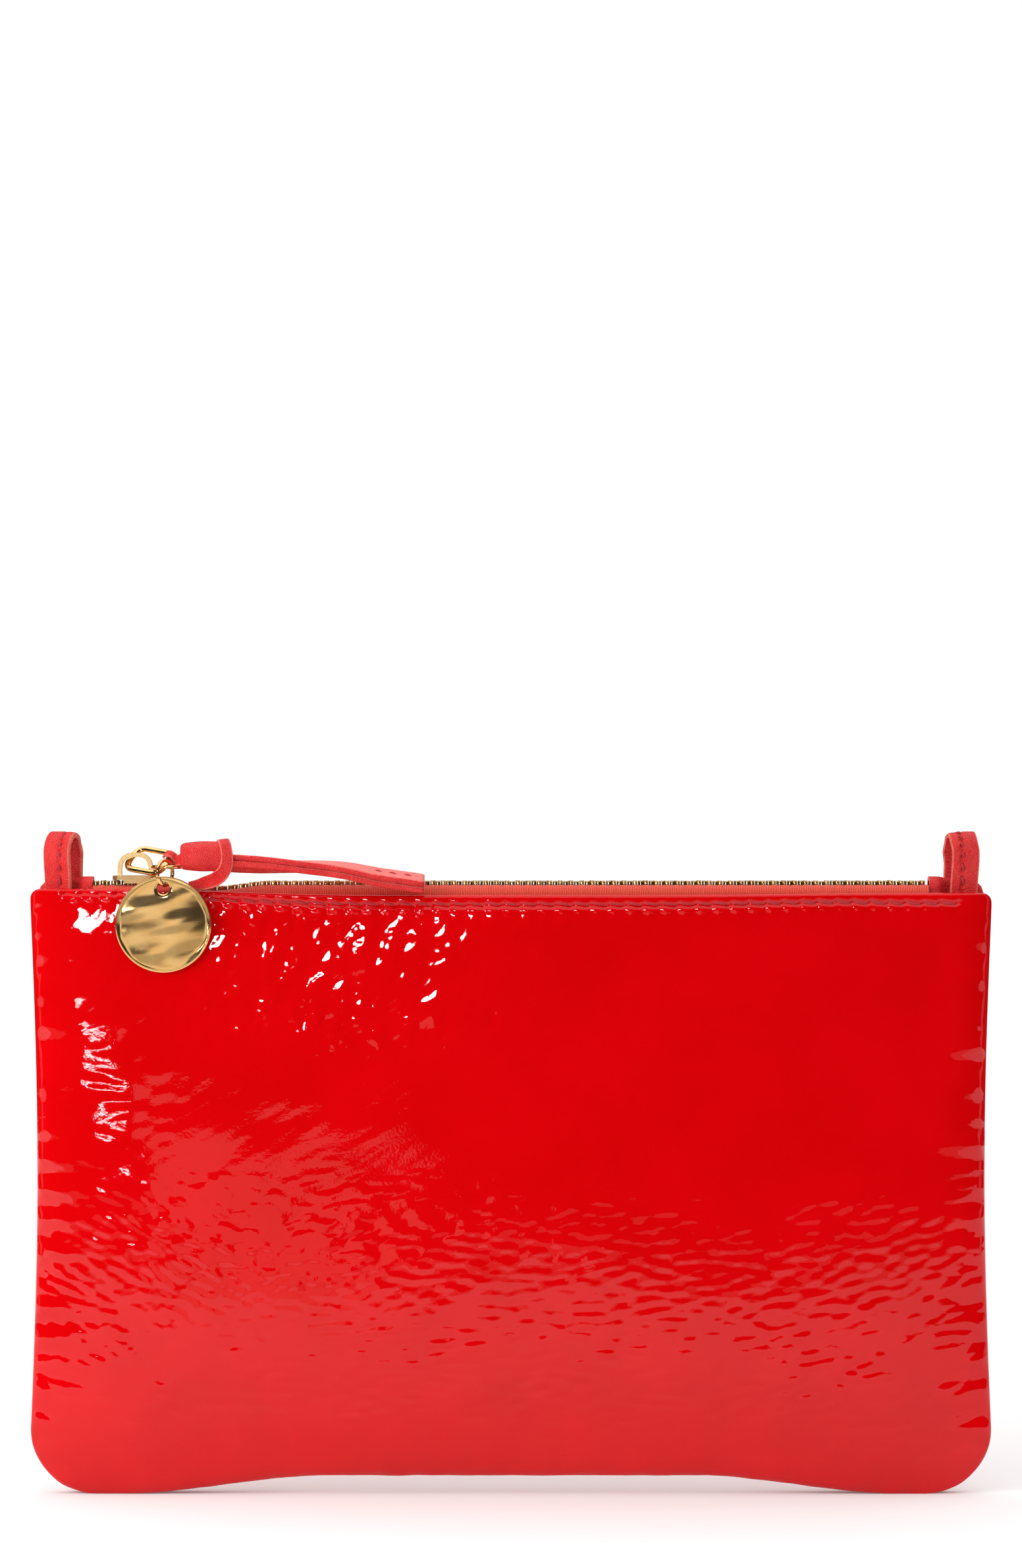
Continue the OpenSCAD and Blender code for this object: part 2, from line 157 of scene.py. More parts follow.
def grid_faces(ids, wrap=False):
    """Quads of a grid of point numbers; wrap joins the last column to the first."""
    if wrap:
        ids = np.hstack([ids, ids[:, :1]])
    return np.stack([ids[:-1, :-1], ids[:-1, 1:], ids[1:, 1:], ids[1:, :-1]], -1).reshape(-1, 4).tolist()


def joined_rows(fine, coarse):
    """Triangles between a row of points and one with several times fewer."""
    ratio = (len(fine) - 1) // (len(coarse) - 1)
    faces = []
    for i in range(len(coarse) - 1):
        start, middle = i * ratio, i * ratio + ratio // 2
        faces += [(fine[k], fine[k + 1], coarse[i]) for k in range(start, middle)]
        faces.append((fine[middle], coarse[i + 1], coarse[i]))
        faces += [(fine[k], fine[k + 1], coarse[i + 1]) for k in range(middle, start + ratio)]
    return faces


def graded(low, high, count, step):
    """count + 1 places from low to high, spread so that neighbours are about step(place) apart."""
    fine = np.linspace(low, high, 20001)
    amount = np.concatenate([[0], np.cumsum(1 / step((fine[1:] + fine[:-1]) / 2))])
    return np.interp(np.linspace(0, amount[-1], count + 1), amount, fine)


def waves(length, angle, stretch, seed, band=0.4):
    """Seeded waves on a flat sheet, about length mm apart and drawn out along angle, as a
    function of x and z. Their height has a standard deviation of 1."""
    step, wide, tall = 0.4, 640, 440
    spectrum = np.fft.fft2(np.random.default_rng(seed).standard_normal((tall, wide)))
    fx, fz = np.meshgrid(np.fft.fftfreq(wide, step), np.fft.fftfreq(tall, step))
    turn = math.radians(angle)
    along = (fx * math.cos(turn) + fz * math.sin(turn)) * stretch
    across = fz * math.cos(turn) - fx * math.sin(turn)
    ring = np.hypot(along, across) * length
    field = np.fft.ifft2(spectrum * np.exp(-((ring - 1) / band)**2)).real
    field /= field.std()

    def height(x, z):
        column, row = (x + 126) / step, (z + 12) / step
        c, r = np.floor(column).astype(int), np.floor(row).astype(int)
        s, t = column - c, row - r
        c, c1, r, r1 = c % wide, (c + 1) % wide, r % tall, (r + 1) % tall
        low = field[r, c] * (1 - s) + field[r, c1] * s
        high = field[r1, c] * (1 - s) + field[r1, c1] * s
        return low * (1 - t) + high * t

    return height


def sweep(path, sections, closed=False):
    """Points and quads of a tube: sections[i] holds (side, up) offsets in the frame of path[i],
    which is (point, side direction, up direction)."""
    points = [[p + a * s + b * u for a, b in section] for (p, s, u), section in zip(path, sections)]
    ids = np.arange(len(points) * len(points[0])).reshape(len(points), -1)
    faces = grid_faces(np.vstack([ids, ids[:1]]) if closed else ids, wrap=True)
    return np.array(points).reshape(-1, 3), faces, ids


def close_cut(mesh):
    """Closes the opening that the cut at x = 0 leaves in a mesh."""
    work = bmesh.new()
    work.from_mesh(mesh)
    cut = [e for e in work.edges if e.is_boundary and all(abs(v.co.x) < CUT_NEAR for v in e.verts)]
    bmesh.ops.holes_fill(work, edges=cut, sides=0)
    work.to_mesh(mesh)
    work.free()


def split_at_middle(obj):
    """Cuts a piece at x = 0 into a left and a right one that keep the whole piece's shading."""
    mesh = obj.data
    points = np.array([v.co for v in mesh.vertices])
    normals = np.array([v.vector for v in mesh.vertex_normals])
    faces = [tuple(p.vertices) for p in mesh.polygons]
    slots = [p.material_index for p in mesh.polygons]
    halves = []
    for word, sign in (("left", -1), ("right", 1)):
        kept = [i for i, f in enumerate(faces) if sign * points[list(f), 0].mean() > 0]
        used = sorted({v for i in kept for v in faces[i]})
        place = {v: k for k, v in enumerate(used)}
        half = mesh_object(f"{obj.name}_{word}", points[used] / MM,
                           [[place[v] for v in faces[i]] for i in kept],
                           *mesh.materials, slots=[slots[i] for i in kept])
        close_cut(half.data)
        half.data.normals_split_custom_set_from_vertices(normals[used].tolist())
        halves.append(half)
    bpy.data.objects.remove(obj)
    return halves


def open_with_lip(obj, lip, slot, *nodes):
    """Cuts a piece of the mouth into its two halves and hides the CAD nodes named in nodes."""
    halves = split_at_middle(obj)
    for half, start in zip(halves, (LIP_LEFT, LIP_RIGHT)):
        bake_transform(half)
        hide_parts(*nodes)
    return halves


def soften(obj, width, segments, angle):
    """Rounds the edges sharper than angle degrees, by width metres."""
    bevel = obj.modifiers.new("soft_edges", "BEVEL")
    bevel.limit_method = "ANGLE"
    bevel.width = width
    bevel.segments = segments
    bevel.angle_limit = math.radians(angle)


def ride(obj, body, slot, *nodes):
    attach(obj, body)
    if nodes:
        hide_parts(*nodes)
    return obj


# ---- materials ----------------------------------------------------------------------------
class Paint:
    """A node material with one Principled shader, built up by short calls."""

    def __init__(self, name, **sockets):
        self.material = bpy.data.materials.new(name)
        self.material.use_nodes = True
        self.tree = self.material.node_tree
        self.shader = self.tree.nodes["Principled BSDF"]
        for key, value in sockets.items():
            self.shader.inputs[key.replace("_", " ")].default_value = value
        self.place = self.node("ShaderNodeTexCoord").outputs["Object"]
        self.normal = None

    def node(self, kind, **settings):
        made = self.tree.nodes.new(kind)
        for key, value in settings.items():
            setattr(made, key, value)
        return made

    def link(self, source, target):
        self.tree.links.new(source, target)

    def stretched(self, scale, turn=(0, 0, 0)):
        mapping = self.node("ShaderNodeMapping")
        mapping.inputs["Scale"].default_value = scale
        mapping.inputs["Rotation"].default_value = [math.radians(a) for a in turn]
        self.link(self.place, mapping.inputs["Vector"])
        return mapping.outputs["Vector"]

    def noise(self, scale, detail=3.0, place=None, roughness=0.5):
        made = self.node("ShaderNodeTexNoise")
        made.inputs["Scale"].default_value = scale
        made.inputs["Detail"].default_value = detail
        made.inputs["Roughness"].default_value = roughness
        self.link(place or self.place, made.inputs["Vector"])
        return made.outputs["Fac"]

    def cells(self, scale, feature="DISTANCE_TO_EDGE", place=None):
        made = self.node("ShaderNodeTexVoronoi", feature=feature)
        made.inputs["Scale"].default_value = scale
        self.link(place or self.place, made.inputs["Vector"])
        return made.outputs["Distance"]

    def bands(self, scale, direction, place=None, distortion=0.0):
        made = self.node("ShaderNodeTexWave", bands_direction=direction)
        made.inputs["Scale"].default_value = scale
        made.inputs["Distortion"].default_value = distortion
        self.link(place or self.place, made.inputs["Vector"])
        return made.outputs["Fac"]

    def ramp(self, source, *stops):
        made = self.node("ShaderNodeValToRGB")
        elements = made.color_ramp.elements
        while len(elements) < len(stops):
            elements.new(0.5)
        for element, (where, colour) in zip(elements, stops):
            element.position = where
            element.color = (*colour, 1)
        self.link(source, made.inputs["Fac"])
        return made.outputs["Color"]

    def mixed(self, a, b, factor, how="MIX"):
        made = self.node("ShaderNodeMix", data_type="RGBA", blend_type=how)
        for socket, value in ((made.inputs[6], a), (made.inputs[7], b), (made.inputs[0], factor)):
            if isinstance(value, bpy.types.NodeSocket):
                self.link(value, socket)
            else:
                socket.default_value = value
        return made.outputs[2]

    def range(self, source, low, high, start=0.0, end=1.0):
        made = self.node("ShaderNodeMapRange")
        for key, value in (("From Min", start), ("From Max", end), ("To Min", low), ("To Max", high)):
            made.inputs[key].default_value = value
        self.link(source, made.inputs["Value"])
        return made.outputs["Result"]

    def colour(self, source):
        self.link(source, self.shader.inputs["Base Color"])
        return self

    def rough(self, source):
        self.link(source, self.shader.inputs["Roughness"])
        return self

    def bump(self, height, depth, strength=1.0, coat=False):
        """Adds relief, depth metres high, on top of what is there."""
        made = self.node("ShaderNodeBump")
        made.inputs["Strength"].default_value = strength
        made.inputs["Distance"].default_value = depth
        self.link(height, made.inputs["Height"])
        if self.normal:
            self.link(self.normal, made.inputs["Normal"])
        self.normal = made.outputs["Normal"]
        self.link(self.normal, self.shader.inputs["Normal"])
        if coat:
            self.link(self.normal, self.shader.inputs["Coat Normal"])
        return self


def patent_leather():
    paint = Paint("patent_leather", Roughness=0.5, Specular_IOR_Level=0.0, Coat_Weight=1.0,
                  Coat_Roughness=0.025, Coat_IOR=1.42)
    paint.colour(paint.ramp(paint.noise(55, 4), (0.3, (0.565, 0.0, 0.001)), (0.7, (0.63, 0.0, 0.002))))
    paint.bump(paint.noise(1300, 2), 0.00001, coat=True)
    return paint.material


def plain_leather():
    paint = Paint("plain_leather", Specular_IOR_Level=0.4)
    grain = paint.cells(1900)
    worn = paint.noise(260, 5)
    paint.colour(paint.mixed(paint.ramp(worn, (0.3, (0.68, 0.010, 0.011)), (0.75, (0.82, 0.030, 0.025))),
                             (0.42, 0.002, 0.005, 1), paint.range(grain, 0.7, 0.0, 0.0, 0.12)))
    paint.rough(paint.range(worn, 0.28, 0.42))
    paint.bump(paint.range(grain, 0.0, 1.0, 0.0, 0.25), 0.00009)
    paint.bump(paint.noise(700, 3), 0.00009)
    return paint.material


def raw_edge():
    paint = Paint("raw_edge", Roughness=0.9, Specular_IOR_Level=0.2, Sheen_Weight=0.25)
    fibres = paint.noise(1500, 6, place=paint.stretched((0.35, 1, 1)), roughness=0.7)
    paint.colour(paint.ramp(fibres, (0.25, (0.60, 0.05, 0.04)), (0.5, (0.76, 0.12, 0.085)),
                            (0.8, (0.84, 0.22, 0.15))))
    paint.bump(fibres, 0.00022)
    return paint.material


def lining_cloth():
    paint = Paint("lining_cloth", Roughness=0.85, Specular_IOR_Level=0.25, Sheen_Weight=0.15)
    warp = paint.bands(900, "X", distortion=0.6)
    weft = paint.bands(900, "Z", distortion=0.6)
    paint.colour(paint.mixed(paint.ramp(warp, (0.1, (0.50, 0.39, 0.27)), (0.9, (0.66, 0.54, 0.39))),
                             paint.ramp(weft, (0.1, (0.48, 0.37, 0.25)), (0.9, (0.68, 0.56, 0.41))), 0.5))
    paint.bump(warp, 0.00008).bump(weft, 0.00008)
    return paint.material


def zip_tape():
    paint = Paint("zip_tape", Roughness=0.8, Specular_IOR_Level=0.3, Sheen_Weight=0.2)
    warp = paint.bands(760, "X", distortion=3.0)
    weft = paint.bands(900, "Z", distortion=3.0)
    yarn = paint.mixed(warp, weft, 0.5, how="MULTIPLY")
    paint.colour(paint.ramp(yarn, (0.05, (0.58, 0.022, 0.015)), (0.45, (0.84, 0.075, 0.04)),
                            (0.9, (0.92, 0.17, 0.09))))
    paint.bump(yarn, 0.00016).bump(paint.noise(2600, 3), 0.00006)
    return paint.material


def gold_metal(name, roughness, deep, bright):
    paint = Paint(name, Metallic=1.0)
    smudge = paint.noise(220, 4)
    paint.colour(paint.ramp(smudge, (0.3, deep), (0.75, bright)))
    paint.rough(paint.range(smudge, roughness * 0.7, roughness * 1.5))
    paint.bump(paint.noise(700, 2, place=paint.stretched((1, 1, 6))), 0.000003)
    return paint.material


def thread():
    paint = Paint("thread", Roughness=0.7, Specular_IOR_Level=0.3, Sheen_Weight=0.2)
    twist = paint.bands(1500, "DIAGONAL", distortion=0.4)
    paint.colour(paint.ramp(twist, (0.1, (0.34, 0.006, 0.012)), (0.9, (0.62, 0.03, 0.035))))
    paint.bump(twist, 0.00008)
    return paint.material


def suede():
    paint = Paint("suede", Roughness=0.95, Specular_IOR_Level=0.1, Sheen_Weight=0.3)
    nap = paint.noise(700, 6, roughness=0.7)
    paint.colour(paint.ramp(nap, (0.25, (0.66, 0.075, 0.06)), (0.55, (0.78, 0.12, 0.095)),
                            (0.8, (0.84, 0.18, 0.14))))
    paint.bump(nap, 0.00018)
    return paint.material


PATENT = patent_leather()
LEATHER = plain_leather()
RAW = raw_edge()
CLOTH = lining_cloth()
TAPE = zip_tape()
GOLD = gold_metal("gold_metal", 0.10, (0.86, 0.52, 0.19), (0.96, 0.66, 0.30))
TEETH = gold_metal("tooth_metal", 0.18, (0.56, 0.34, 0.13), (0.86, 0.60, 0.30))
SLIDER = gold_metal("slider_metal", 0.36, (0.80, 0.52, 0.22), (0.95, 0.70, 0.36))
THREAD = thread()
SUEDE = suede()


# ---- panels -------------------------------------------------------------------------------
# Crinkle layers: waves' spacing, direction, stretch, slope, and the weight as a function of place.
def near(value, centre, run):
    return np.exp(-((value - centre) / run)**2)


def crinkle_layers(x, z, seed):
    low = smooth((86 - z) / 28) * (0.7 + 0.3 * smooth(z / 22))
    left, right = smooth((-38 - x) / 42), smooth((x - 30) / 45)
    ruffled = smooth((z - 98) / 16) * near(x, -42, 48)
    slopes = ((2.8, 2, 3.0, 0.064, low * (1 - 0.75 * left - 0.6 * right)),
              (2.9, -27, 2.6, 0.064, low * left),
              (2.8, 18, 2.8, 0.064, low * right),
              (1.6, 8, 2.2, 0.030, low),
              (6.2, 70, 2.0, 0.056, ruffled),
              (3.0, 56, 1.6, 0.052, ruffled),
              (1.7, 20, 1.4, 0.030, ruffled),
              (3.4, 30, 4.2, 0.010, 1 - 0.6 * low),
              (13.0, 20, 1.8, 0.011, np.ones_like(x)),
              (4.2, -8, 3.2, 0.030, near(x, -96, 16) * near(z, 92, 18)))
    total = 0
    for i, (length, angle, stretch, slope, weight) in enumerate(slopes):
        height = slope * length / (2 * math.pi)
        total = total + height * weight * waves(length, angle, stretch, seed + i)(x, z)
    return total


def stitch_z(x):
    """Height of the stitch row: it keeps below the folded edge."""
    return BODY_H + lip_shift(x) - 2.05 - 0.5 * smooth((x - 70) / 30)


def stitch_pull(x, z):
    """The row of holes, the groove between them and the scallops that the thread pulls up."""
    share = ((x + STITCH_END) / STITCH_STEP) % 1
    inside = smooth((STITCH_END + 2 - np.abs(x)) / 2)
    up = z - stitch_z(x) + 0.45 * (share - 0.5)
    along = np.minimum(share, 1 - share) * STITCH_STEP
    hole = -0.42 * np.exp(-(along / 0.55)**2 - (up / 0.42)**2)
    groove = -0.22 * near(up, 0, 0.5)
    scallop = 0.20 * np.sin(np.pi * share)**0.8 * near(up, -1.15, 0.75)
    spread = 0.05 * np.cos(2 * np.pi * share) * -near(up, -2.4, 1.3)
    band = (0.17 - 0.06 * np.cos(2 * np.pi * share)) * near(up, 1.15, 0.62)
    return inside * (hole + groove + scallop + spread + band)


def seam_pucker(x, z, seed):
    """Short folds that run in from the side seams and from the bottom seam."""
    from_side = half_w(z) - np.abs(x)
    along = waves(7.5, 0, 5.0, seed)(x * 0.6, z)
    side = 0.22 * along * np.exp(-from_side / 5.5) * smooth(from_side / 2.0)
    under = 0.10 * waves(9.0, 90, 4.0, seed + 1)(x, z) * np.exp(-z / 6.0) * smooth(z / 2.0)
    return side + under


def panel_relief(x, z, seed):
    loose = smooth((half_w(z) - np.abs(x)) / 14) * smooth(z / 16) * smooth((BODY_H - z) / 10)
    dents = 0.16 * waves(62, 15, 1.3, seed + 20, band=0.5)(x, z) * loose
    calm = smooth((stitch_z(x) - 1.2 - z) / 3)
    fine = crinkle_layers(x, z, seed) * calm * smooth((half_w(z) - np.abs(x)) / 3 + 0.2)
    return dents + fine + seam_pucker(x, z, seed + 30) * calm + stitch_pull(x, z)


def make_panel(name, side, seed):
    """One leather panel: its crinkled skin, the edge folded over at the mouth, the skin turned
    in at the seams, and a plain inside."""
    top = BODY_H - FOLD_R
    heights = graded(0, top, 304, lambda z: 0.04 + 0.46 * np.sqrt(np.clip(z / 8, 0, 1)) - 0.12 * (z > 132))
    half = graded(0, 1, 276, lambda u: 0.04 + 0.42 * np.sqrt(np.clip((1 - u) * BODY_W / 16, 0, 1)))
    across = np.concatenate([-half[:0:-1], half])
    z = np.repeat(heights[:, None], len(across), 1)
    x = across[None, :] * half_w(z)
    skin = np.stack([x, outer_half(x, z), raised(x, z)], -1)
    rise, run = np.gradient(skin, axis=0), np.gradient(skin, axis=1)
    normal = np.cross(rise, run)
    normal /= np.linalg.norm(normal, axis=-1, keepdims=True) + 1e-12
    normal *= np.sign(normal[..., 1:2] + 1e-9)
    skin = skin + normal * panel_relief(x, z, seed)[..., None]
    rounded = np.clip(3 - (half_w(z) - np.abs(x)), 0, 3)
    shift = lip_shift(x) - (3 - np.sqrt(9 - rounded**2)) * 0.8
    skin[..., 2] += shift * smooth(z / BODY_H)**4

    turns = np.linspace(0, 180, 9)[1:]
    edge = skin[-1]
    fold = np.array([[(p[0], p[1] - FOLD_R * (1 - math.cos(a)), p[2] + FOLD_R * math.sin(a)) for p in edge]
                     for a in np.radians(turns)])
    outside = np.concatenate([skin, fold])
    count = outside.shape[0] * outside.shape[1]
    ids = np.arange(count).reshape(outside.shape[:2])
    points = [outside.reshape(-1, 3)]
    faces = grid_faces(ids)

    # The rim runs down the right side, along the bottom and up the left side.
    rim = np.concatenate([ids[::-1, -1], ids[0, -2::-1], ids[1:, 0]])
    places = outside.reshape(-1, 3)[rim]
    inward = np.gradient(places[:, [0, 2]], axis=0)
    inward = np.stack([inward[:, 1], -inward[:, 0]], -1)
    inward /= np.linalg.norm(inward, axis=1, keepdims=True) + 1e-12
    inward *= np.sign(-(inward * (places[:, [0, 2]] - (0, BODY_H / 2))).sum(1, keepdims=True))
    rings = [rim]
    for k in range(1, 6):
        a = math.radians(18 * k)
        drawn = 0.9 * (1 - math.cos(a))
        ring = places.copy()
        ring[:, 0] += inward[:, 0] * drawn
        ring[:, 2] += inward[:, 1] * drawn
        ring[:, 1] = places[:, 1] + (0.06 - places[:, 1]) * math.sin(a)
        points.append(ring)
        rings.append(np.arange(count, count + len(rim)))
        count += len(rim)
    faces += grid_faces(np.array(rings))

    ratio = 4
    z_in, x_in = z[::ratio, ::ratio], x[::ratio, ::ratio]
    inner = np.maximum(outer_half(x_in, z_in) - LEATHER_T, 0.06)
    inner[-1] = outer_half(x_in[-1], z_in[-1]) - 2 * FOLD_R
    inside = np.stack([x_in * (1 - 2.0 / half_w(z_in)), inner,
                       raised(x_in, z_in) + 1.2 * smooth((9 - z_in) / 9)], -1)
    inside[..., 2] += lip_shift(x_in) * smooth(z_in / BODY_H)**4
    core = np.arange(count, count + inner.size).reshape(inner.shape)
    points.append(inside.reshape(-1, 3))
    faces += grid_faces(core)
    folds = len(turns)
    last = rings[-1]
    faces += joined_rows(ids[-1], core[-1])
    core_rim = np.concatenate([core[::-1, -1], core[0, -2::-1], core[1:, 0]])
    faces += joined_rows(last[folds:len(last) - folds], core_rim)
    for end, corner in ((rings, core[-1, -1]), ([r[::-1] for r in rings], core[-1, 0])):
        faces += [(end[-1][k], end[-1][k + 1], corner) for k in range(folds)]
        faces += [(end[k][0], end[k + 1][0], corner) for k in range(len(end) - 1)]
    points = np.concatenate(points)
    points[:, 1] *= side
    obj = mesh_object(name, points, faces, PATENT)
    face_outwards(obj)
    return obj


def make_panels():
    for word, side, seed in (("front", -1, 11), ("back", 1, 57)):
        panel = make_panel(f"{word}_skin", side, seed)
        for half in open_with_lip(panel, f"{word}_lip", "patent_leather", f"{word}_panel"):
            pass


make_panels()


# ---- stitches -----------------------------------------------------------------------------
def stitch(start, end, out, radius, sides=8, steps=6):
    """One thread run: it dips into the leather at both ends and stands proud in the middle."""
    start, end, out = (np.array(p, float) for p in (start, end, out))
    along = (end - start) / np.linalg.norm(end - start)
    side = np.cross(out, along)
    side /= np.linalg.norm(side)
    up = np.cross(along, side)
    path, sections = [], []
    for i in range(steps + 1):
        t = i / steps
        place = start + (end - start) * t + up * radius * (1.5 * math.sin(math.pi * t)**0.6 - 1.1)
        path.append((place, side, up))
        thick = radius * (0.55 + 0.45 * math.sin(math.pi * t)**0.5)
        sections.append([(thick * math.cos(a), thick * 0.85 * math.sin(a))
                         for a in np.linspace(0, 2 * math.pi, sides, endpoint=False)])
    points, faces, ids = sweep(path, sections)
    return points, faces + [tuple(ids[0][::-1]), tuple(ids[-1])]


def stitches(name, runs, radius=0.3, material=None):
    """Many thread runs as one object."""
    points, faces, count = [], [], 0
    for start, end, out in runs:
        p, f = stitch(start, end, out, radius)
        points.append(p)
        faces += [[v + count for v in face] for face in f]
        count += len(p)
    obj = mesh_object(name, np.concatenate(points), faces, material or THREAD)
    face_outwards(obj)
    return obj


def make_topstitch():
    for word, side in (("front", -1), ("back", 1)):
        runs = []
        for x in np.arange(-STITCH_END, STITCH_END - STITCH_STEP / 2, STITCH_STEP):
            ends = []
            for place, drop in ((x + 0.35, 0.26), (x + STITCH_STEP - 0.3, -0.26)):
                z = stitch_z(place) + drop
                ends.append((place, side * (outer_half(place, z) - 0.12), z + 0.02))
            runs.append((*ends, (0, side, 0)))
        open_with_lip(stitches(f"{word}_topstitch", runs), f"{word}_lip", "thread", f"topstitch_{word}")


make_topstitch()


# ---- zip ----------------------------------------------------------------------------------
def parted(x):
    return PART_GAP * smooth((PARTED_X + 1.2 - x) / 2.4)


def make_tape(word, side):
    """The woven tape: flat under the teeth, then turned down inside the mouth."""
    stations = np.linspace(-ZIP_HALF, ZIP_HALF, TAPE_STATIONS)
    top = [(1.0 + 1.7 * t, 0.16) for t in np.linspace(0, 1, 4)]
    bend = [(2.7 + 2.2 * math.sin(a), 0.16 - 2.2 * (1 - math.cos(a)))
            for a in np.radians(np.linspace(12, 90, 9))]
    wall = [(4.9, -2.04 - 5.5 * t) for t in np.linspace(0.15, 1, 8)]
    outer = top + bend + wall
    inner = [(y - 0.32 if i > 6 else y, z - (0.32 if i <= 6 else 0.1))
             for i, (y, z) in enumerate(outer)][::-1]
    loop = outer + inner
    points = []
    for x in stations:
        ribs = 0.03 * math.sin(2 * math.pi * x / TAPE_RIB + 1.5 * math.sin(x * 1.7))
        for k, (y, z) in enumerate(loop):
            lean = ribs * (1 if k % 2 else -1) if 3 < k < len(outer) else 0
            back = parted(x) * max(0.0, min(1.0, (4.9 - y) / 3.0))
            points.append((x, side * (y + back + lean), CHAIN_Z + z - zip_dip(x) * min(1, (6.5 + z) / 4)))
    ids = np.arange(len(points)).reshape(len(stations), -1)
    faces = grid_faces(ids, wrap=True) + [list(ids[0]), list(ids[-1])]
    obj = mesh_object(f"{word}_tape", points, faces, TAPE)
    face_outwards(obj)
    return open_with_lip(obj, f"{word}_lip", "zip_tape", f"zip_tape_{word}")


def tooth_outline():
    """Half of a tooth seen from above, as (half width, distance past the middle of the zip)."""
    return [(0.50, -2.9), (0.56, -2.75), (0.56, -1.25), (0.50, -0.95), (0.36, -0.65), (0.36, -0.35),
            (0.54, -0.05), (0.56, 0.2), (0.44, 0.44), (0.2, 0.55)]


def tooth_mesh():
    """Points and faces of one tooth, round its own middle: rounded top and bottom, a dimple."""
    half = tooth_outline()
    outline = np.array(half + [(-w, y) for w, y in half[::-1]])
    centre = np.array([0, outline[:, 1].mean()])
    layers = []
    for z, inset in ((-1.15, 0.16), (-1.08, 0.05), (-0.95, 0.0), (0.95, 0.0), (1.08, 0.05), (1.15, 0.16)):
        pull = (outline - centre)
        pull = pull / np.linalg.norm(pull, axis=1, keepdims=True) * inset
        layers.append(np.column_stack([outline - pull, np.full(len(outline), z)]))
    points = np.concatenate(layers)
    ids = np.arange(len(points)).reshape(len(layers), -1)
    return points, grid_faces(ids, wrap=True) + [ids[0].tolist(), ids[-1].tolist()]


def make_teeth(word, side, offset):
    base, base_faces = tooth_mesh()
    chance = np.random.default_rng(5 + side)
    points, faces, slots = [], [], []
    x = FIRST_TOOTH + offset
    while x < LAST_TOOTH:
        p = base.copy()
        turn = math.radians(chance.normal(0, 1.2))
        p[:, 0] = base[:, 0] * math.cos(turn) - base[:, 1] * math.sin(turn) + x
        p[:, 1] = side * (-base[:, 1] + parted(x))
        p[:, 2] += CHAIN_Z - zip_dip(x) + chance.normal(0, 0.03)
        faces += [[v + len(points) * len(base) for v in f] for f in base_faces]
        points.append(p)
        x += PITCH
    obj = mesh_object(f"{word}_tooth_row", np.concatenate(points), faces, TEETH)
    face_outwards(obj)
    return open_with_lip(obj, f"{word}_lip", "gold_metal", f"teeth_{word}")


def make_zip():
    for word, side, offset in (("front", -1, 0.0), ("back", 1, PITCH / 2)):
        make_tape(word, side)
        make_teeth(word, side, offset)


make_zip()


def metal_cad(*names):
    """Gold finish and softened edges on CAD nodes whose shape is right."""
    for name in names:
        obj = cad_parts[name]
        obj.data.materials.clear()
        obj.data.materials.append(SLIDER if name == "zip_slider" else GOLD)
        weld = obj.modifiers.new("weld", "WELD")
        weld.merge_threshold = 1e-6
        soften(obj, 0.00022, 3, 35)


metal_cad("zip_slider", "top_stop_front", "top_stop_back", "bottom_stop")


# ---- link, rings and disc -----------------------------------------------------------------
def link_frame():
    """The corner where the link's bar lies, and the link's own three directions."""
    turn = Matrix.Rotation(math.radians(-30), 3, "Z") @ Matrix.Rotation(math.radians(8), 3, "Y") \
        @ Matrix.Rotation(math.radians(42), 3, "X")
    origin = np.array([-92.0, 0.0, CHAIN_Z + 1.35 + 1.0 + 4.5 / 2])
    return origin, [np.array(turn.col[i]) for i in range(3)]


LINK_O, (LINK_U, LINK_V, LINK_N) = link_frame()


def make_link():
    """An oval ring with flat, bevelled faces."""
    length, width, bar, thick = 11.5, 8.6, 1.5, 1.3
    centre = LINK_O + LINK_U * (length / 2 - 0.7) + LINK_V * (width / 2 - 1.3)
    corner = 3.1
    path, sections = [], []
    for quarter, (su, sv) in enumerate(((1, 1), (-1, 1), (-1, -1), (1, -1))):
        for i in range(10):
            a = math.radians(90 * quarter + 10 * i)
            out = LINK_U * math.cos(a) + LINK_V * math.sin(a)
            middle = centre + LINK_U * su * (length / 2 - corner) + LINK_V * sv * (width / 2 - corner)
            path.append((middle + out * (corner - bar / 2), out, LINK_N))
            b, t = bar / 2, thick / 2
            sections.append([(b, -t * 0.35), (b, t * 0.35), (b * 0.45, t), (-b * 0.45, t),
                             (-b, t * 0.35), (-b, -t * 0.35), (-b * 0.45, -t), (b * 0.45, -t)])
    points, faces, _ = sweep(path, sections, closed=True)
    obj = mesh_object("oval_link", points, faces, GOLD)
    face_outwards(obj)
    soften(obj, 0.00012, 2, 25)
    return ride(obj, "link", "gold_metal", "pull_link")


def make_jump_ring(name, body, node, centre, radius, across, up, gap_at):
    """A ring of round wire with its ends butted together at gap_at degrees."""
    centre, across, up = (np.array(v, float) for v in (centre, across, up))
    wire, out_of = 0.45, np.cross(across, up)
    path, sections = [], []
    for a in np.radians(np.linspace(gap_at + 2.5, gap_at + 357.5, 72)):
        out = across * math.cos(a) + up * math.sin(a)
        path.append((centre + out * radius, out, out_of))
        sections.append([(wire * math.cos(b), wire * math.sin(b))
                         for b in np.linspace(0, 2 * math.pi, 16, endpoint=False)])
    points, faces, ids = sweep(path, sections)
    obj = mesh_object(name, points, faces + [list(ids[0]), list(ids[-1])], GOLD)
    face_outwards(obj)
    return ride(obj, body, "gold_metal", node)


